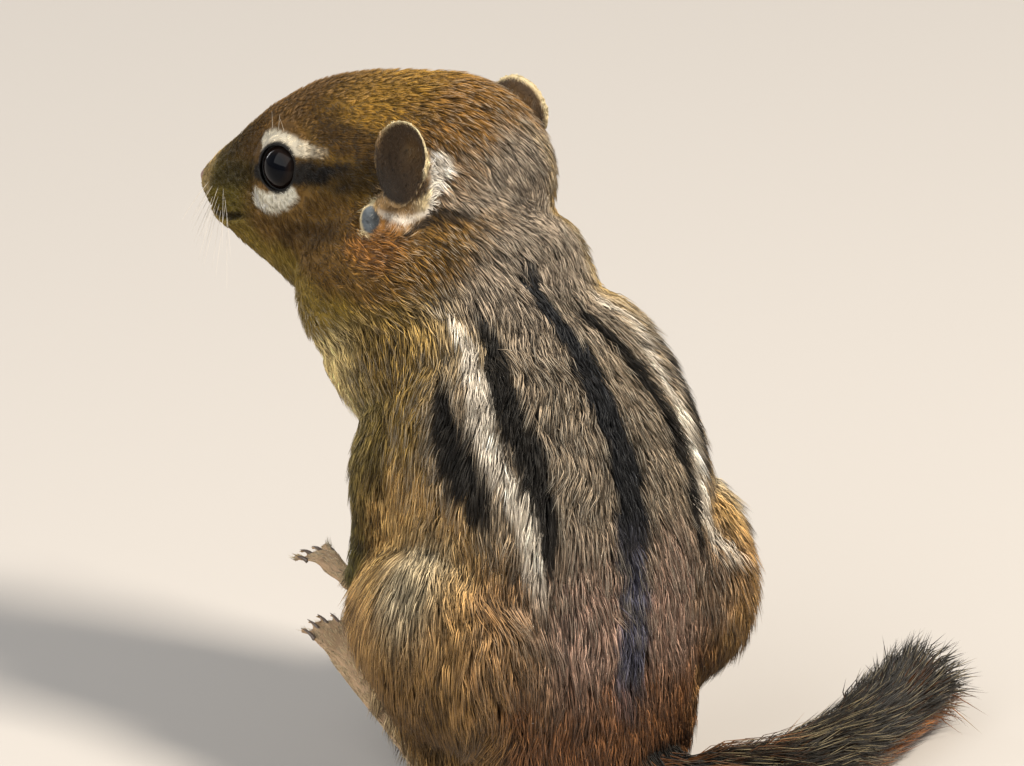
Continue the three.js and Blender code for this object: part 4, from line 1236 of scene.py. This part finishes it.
def claw_at(start, pointing, upward, long):
    """One claw on the end of a digit."""
    bpy.ops.object.select_all(action="DESELECT")
    bpy.ops.mesh.primitive_cone_add(vertices=10, radius1=CLAW["root"] * MM, radius2=CLAW["tip"] * MM,
                                    depth=long * MM)
    claw = bpy.context.object
    bpy.ops.object.mode_set(mode="EDIT")
    bpy.ops.mesh.select_all(action="SELECT")
    bpy.ops.mesh.subdivide(number_cuts=3)
    bpy.ops.object.mode_set(mode="OBJECT")
    form = places(claw)
    along = form[:, 2] / long + 0.5
    droop = CLAW["droop"] * along ** 2 - CLAW["arch"] * np.sin(math.pi * along)
    form = (start + np.outer(along * long - CLAW["sunk"], pointing)
            + np.outer(form[:, 0], np.cross(pointing, upward)) + np.outer(form[:, 1] - droop, upward))
    form[:, 2] = np.maximum(form[:, 2], 0.02)
    move_to(claw, form)
    return claw


PAWS = {}
for side in SIDES:
    PAWS["forepaw_" + side] = (ARM[side][-1], FOREPAW_HEADING[side], FOREPAW)
    PAWS["hindfoot_" + side] = (HEEL[side], np.subtract(TOES[side], HEEL[side]), HINDFOOT)
for name, (root, heading, size) in PAWS.items():
    made = [claw_at(*end, size["claw"] * CLAW["longer"]) for end in digit_ends(root, heading, size)]
    only(*made)
    bpy.ops.object.join()
    claws = bpy.context.object
    claws.name = "claws_" + name
    face_outwards(claws)
    bpy.ops.object.shade_smooth_by_angle(angle=math.radians(50))
    claws.data.materials.append(HORN)
    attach(claws, "root")
    print(claws.name, "of", len(made))

# %% [markdown]
# ## The whiskers
#
# Long pale bristles stand in rows on each whisker pad, with a few over the eyes. Each is a thin tapering
# tube that droops under its own weight.

# %% Whiskers
WHISKER_STEPS = 9
WHISKER_THICK = 0.06
THIRDS = (0, 2.094, 4.189)  # thirds of a turn, in radians
PAD = {"rows": 4, "columns": 4, "back": 2.6, "apart": 0.85, "top": 0.9, "row_drop": 0.75}


def bristle(root, aim_at, long, droop):
    """The rings of one whisker, three points each and one at its tip."""
    aim_at = aim_at / np.linalg.norm(aim_at)
    side_of = np.cross(aim_at, (0, 0, 1))
    side_of /= np.linalg.norm(side_of)
    rise = np.cross(side_of, aim_at)
    rings = []
    for step in range(WHISKER_STEPS):
        share = step / WHISKER_STEPS
        middle = root + aim_at * long * share - np.array((0, 0, droop * share ** 2))
        half = WHISKER_THICK / 2 * (1 - 0.85 * share)
        for turned in THIRDS:
            rings.append(middle + (side_of * math.cos(turned) + rise * math.sin(turned)) * half)
    rings.append(root + aim_at * long - np.array((0, 0, droop)))
    return rings


bristles = []
for sign in SIDES.values():
    for row in range(PAD["rows"]):
        for column in range(PAD["columns"]):
            back, level = PAD["back"] + column * PAD["apart"], PAD["top"] - row * PAD["row_drop"]
            reach = np.interp(back, (0, 2, 4.5, 7), (1.2, 2.8, 4.0, 5.0)) * (1 - 0.06 * row)
            sideways = np.array((sign * 1.0, 0.1 + 0.17 * column, -0.42 - 0.12 * row + 0.05 * column))
            long = (5.5 + 1.9 * column - 0.35 * row) * RANDOM.uniform(0.85, 1.1)
            aim_at = HEAD_AXES @ sideways + RANDOM.normal(0, 0.06, 3)
            bristles.append(bristle(in_head(sign * reach, back, level), aim_at, long, long * 0.12))
    for number in range(3):  # over the eye
        root = in_head(sign * (5.4 + 0.3 * number), 11.6 + 0.9 * number, 8.8)
        aim_at = HEAD_AXES @ np.array((sign * 0.7, 0.35, 0.75)) + RANDOM.normal(0, 0.08, 3)
        bristles.append(bristle(root, aim_at, 4.0, 0.4))
ring_faces = []
for step in range(WHISKER_STEPS - 1):
    for k in range(3):
        a, b = step * 3 + k, step * 3 + (k + 1) % 3
        ring_faces.append((a, b, b + 3, a + 3))
last = (WHISKER_STEPS - 1) * 3
ring_faces += [(last + k, last + (k + 1) % 3, last + 3) for k in range(3)] + [(0, 2, 1)]
per = WHISKER_STEPS * 3 + 1
data = bpy.data.meshes.new("whiskers")
data.from_pydata([tuple(p * MM) for rings in bristles for p in rings], [],
                 [tuple(v + per * i for v in face) for i in range(len(bristles)) for face in ring_faces])
whiskers = bpy.data.objects.new("whiskers", data)
bpy.context.collection.objects.link(whiskers)
face_outwards(whiskers)
bpy.ops.object.shade_smooth()


def bristle_material():
    """A pale, glossy, slightly stiff hair."""
    material, tree = new_material("pale_bristle")
    shader = add_node(tree, "ShaderNodeBsdfPrincipled", Roughness=0.35, IOR=1.55)
    shader.inputs["Base Color"].default_value = (*linear("d9cfc0"), 1)
    finish_with(tree, shader)
    return material


whiskers.data.materials.append(bristle_material())
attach(whiskers, "root")
print("whiskers:", len(bristles))

# %% [markdown]
# ## Floor and light
#
# The floor is plain and pale. A small lamp stands high behind the animal's right side and gives the back
# its light, with a shadow of a fairly clear edge. A large one fills softly from the animal's left, a weak
# narrow one lights the muzzle from the front, and the surroundings add an even light.

# %% Floor, lights and surroundings
bpy.ops.object.select_all(action="DESELECT")
bpy.ops.mesh.primitive_plane_add(size=8)
floor = bpy.context.object
floor.name = "studio_floor"
paper, tree = new_material("matt_paper")
shader = add_node(tree, "ShaderNodeBsdfPrincipled", Roughness=0.9)
shader.inputs["Base Color"].default_value = (*linear("b2aeaa"), 1)
finish_with(tree, shader)
floor.data.materials.append(paper)


def soft_lamp(name, azimuth, elevation, distance, size, watts, hex_code):
    """A rectangular lamp, so many metres from the animal's chest, that faces it."""
    offset = direction_to(azimuth, elevation)
    bpy.ops.object.select_all(action="DESELECT")
    bpy.ops.object.light_add(type="AREA", location=aim + offset * distance)
    lamp = bpy.context.object
    lamp.name = name
    lamp.data.shape = "RECTANGLE"
    lamp.data.size, lamp.data.size_y = size
    lamp.data.energy = watts
    lamp.data.color = linear(hex_code)
    lamp.rotation_euler = offset.to_track_quat("Z", "Y").to_euler()


soft_lamp("key_lamp", 198, 50, distance=0.9, size=(0.18, 0.18), watts=15, hex_code="fff4e4")
soft_lamp("fill_lamp", 96, 40, distance=1.2, size=(1.5, 1.0), watts=14, hex_code="faf8f4")
soft_lamp("front_lamp", 12, 15, distance=0.9, size=(0.06, 0.4), watts=1.0, hex_code="ffffff")
world = bpy.context.scene.world or bpy.data.worlds.new("studio")
bpy.context.scene.world = world
world.use_nodes = True
world.node_tree.nodes.clear()
sky = add_node(world.node_tree, "ShaderNodeBackground", Strength=0.36)
sky.inputs["Color"].default_value = (*linear("f2f4f7"), 1)
out_node = add_node(world.node_tree, "ShaderNodeOutputWorld")
world.node_tree.links.new(sky.outputs[0], out_node.inputs["Surface"])
bpy.context.scene.view_settings.view_transform = "Standard"

# %% The end
bpy.context.view_layer.update()
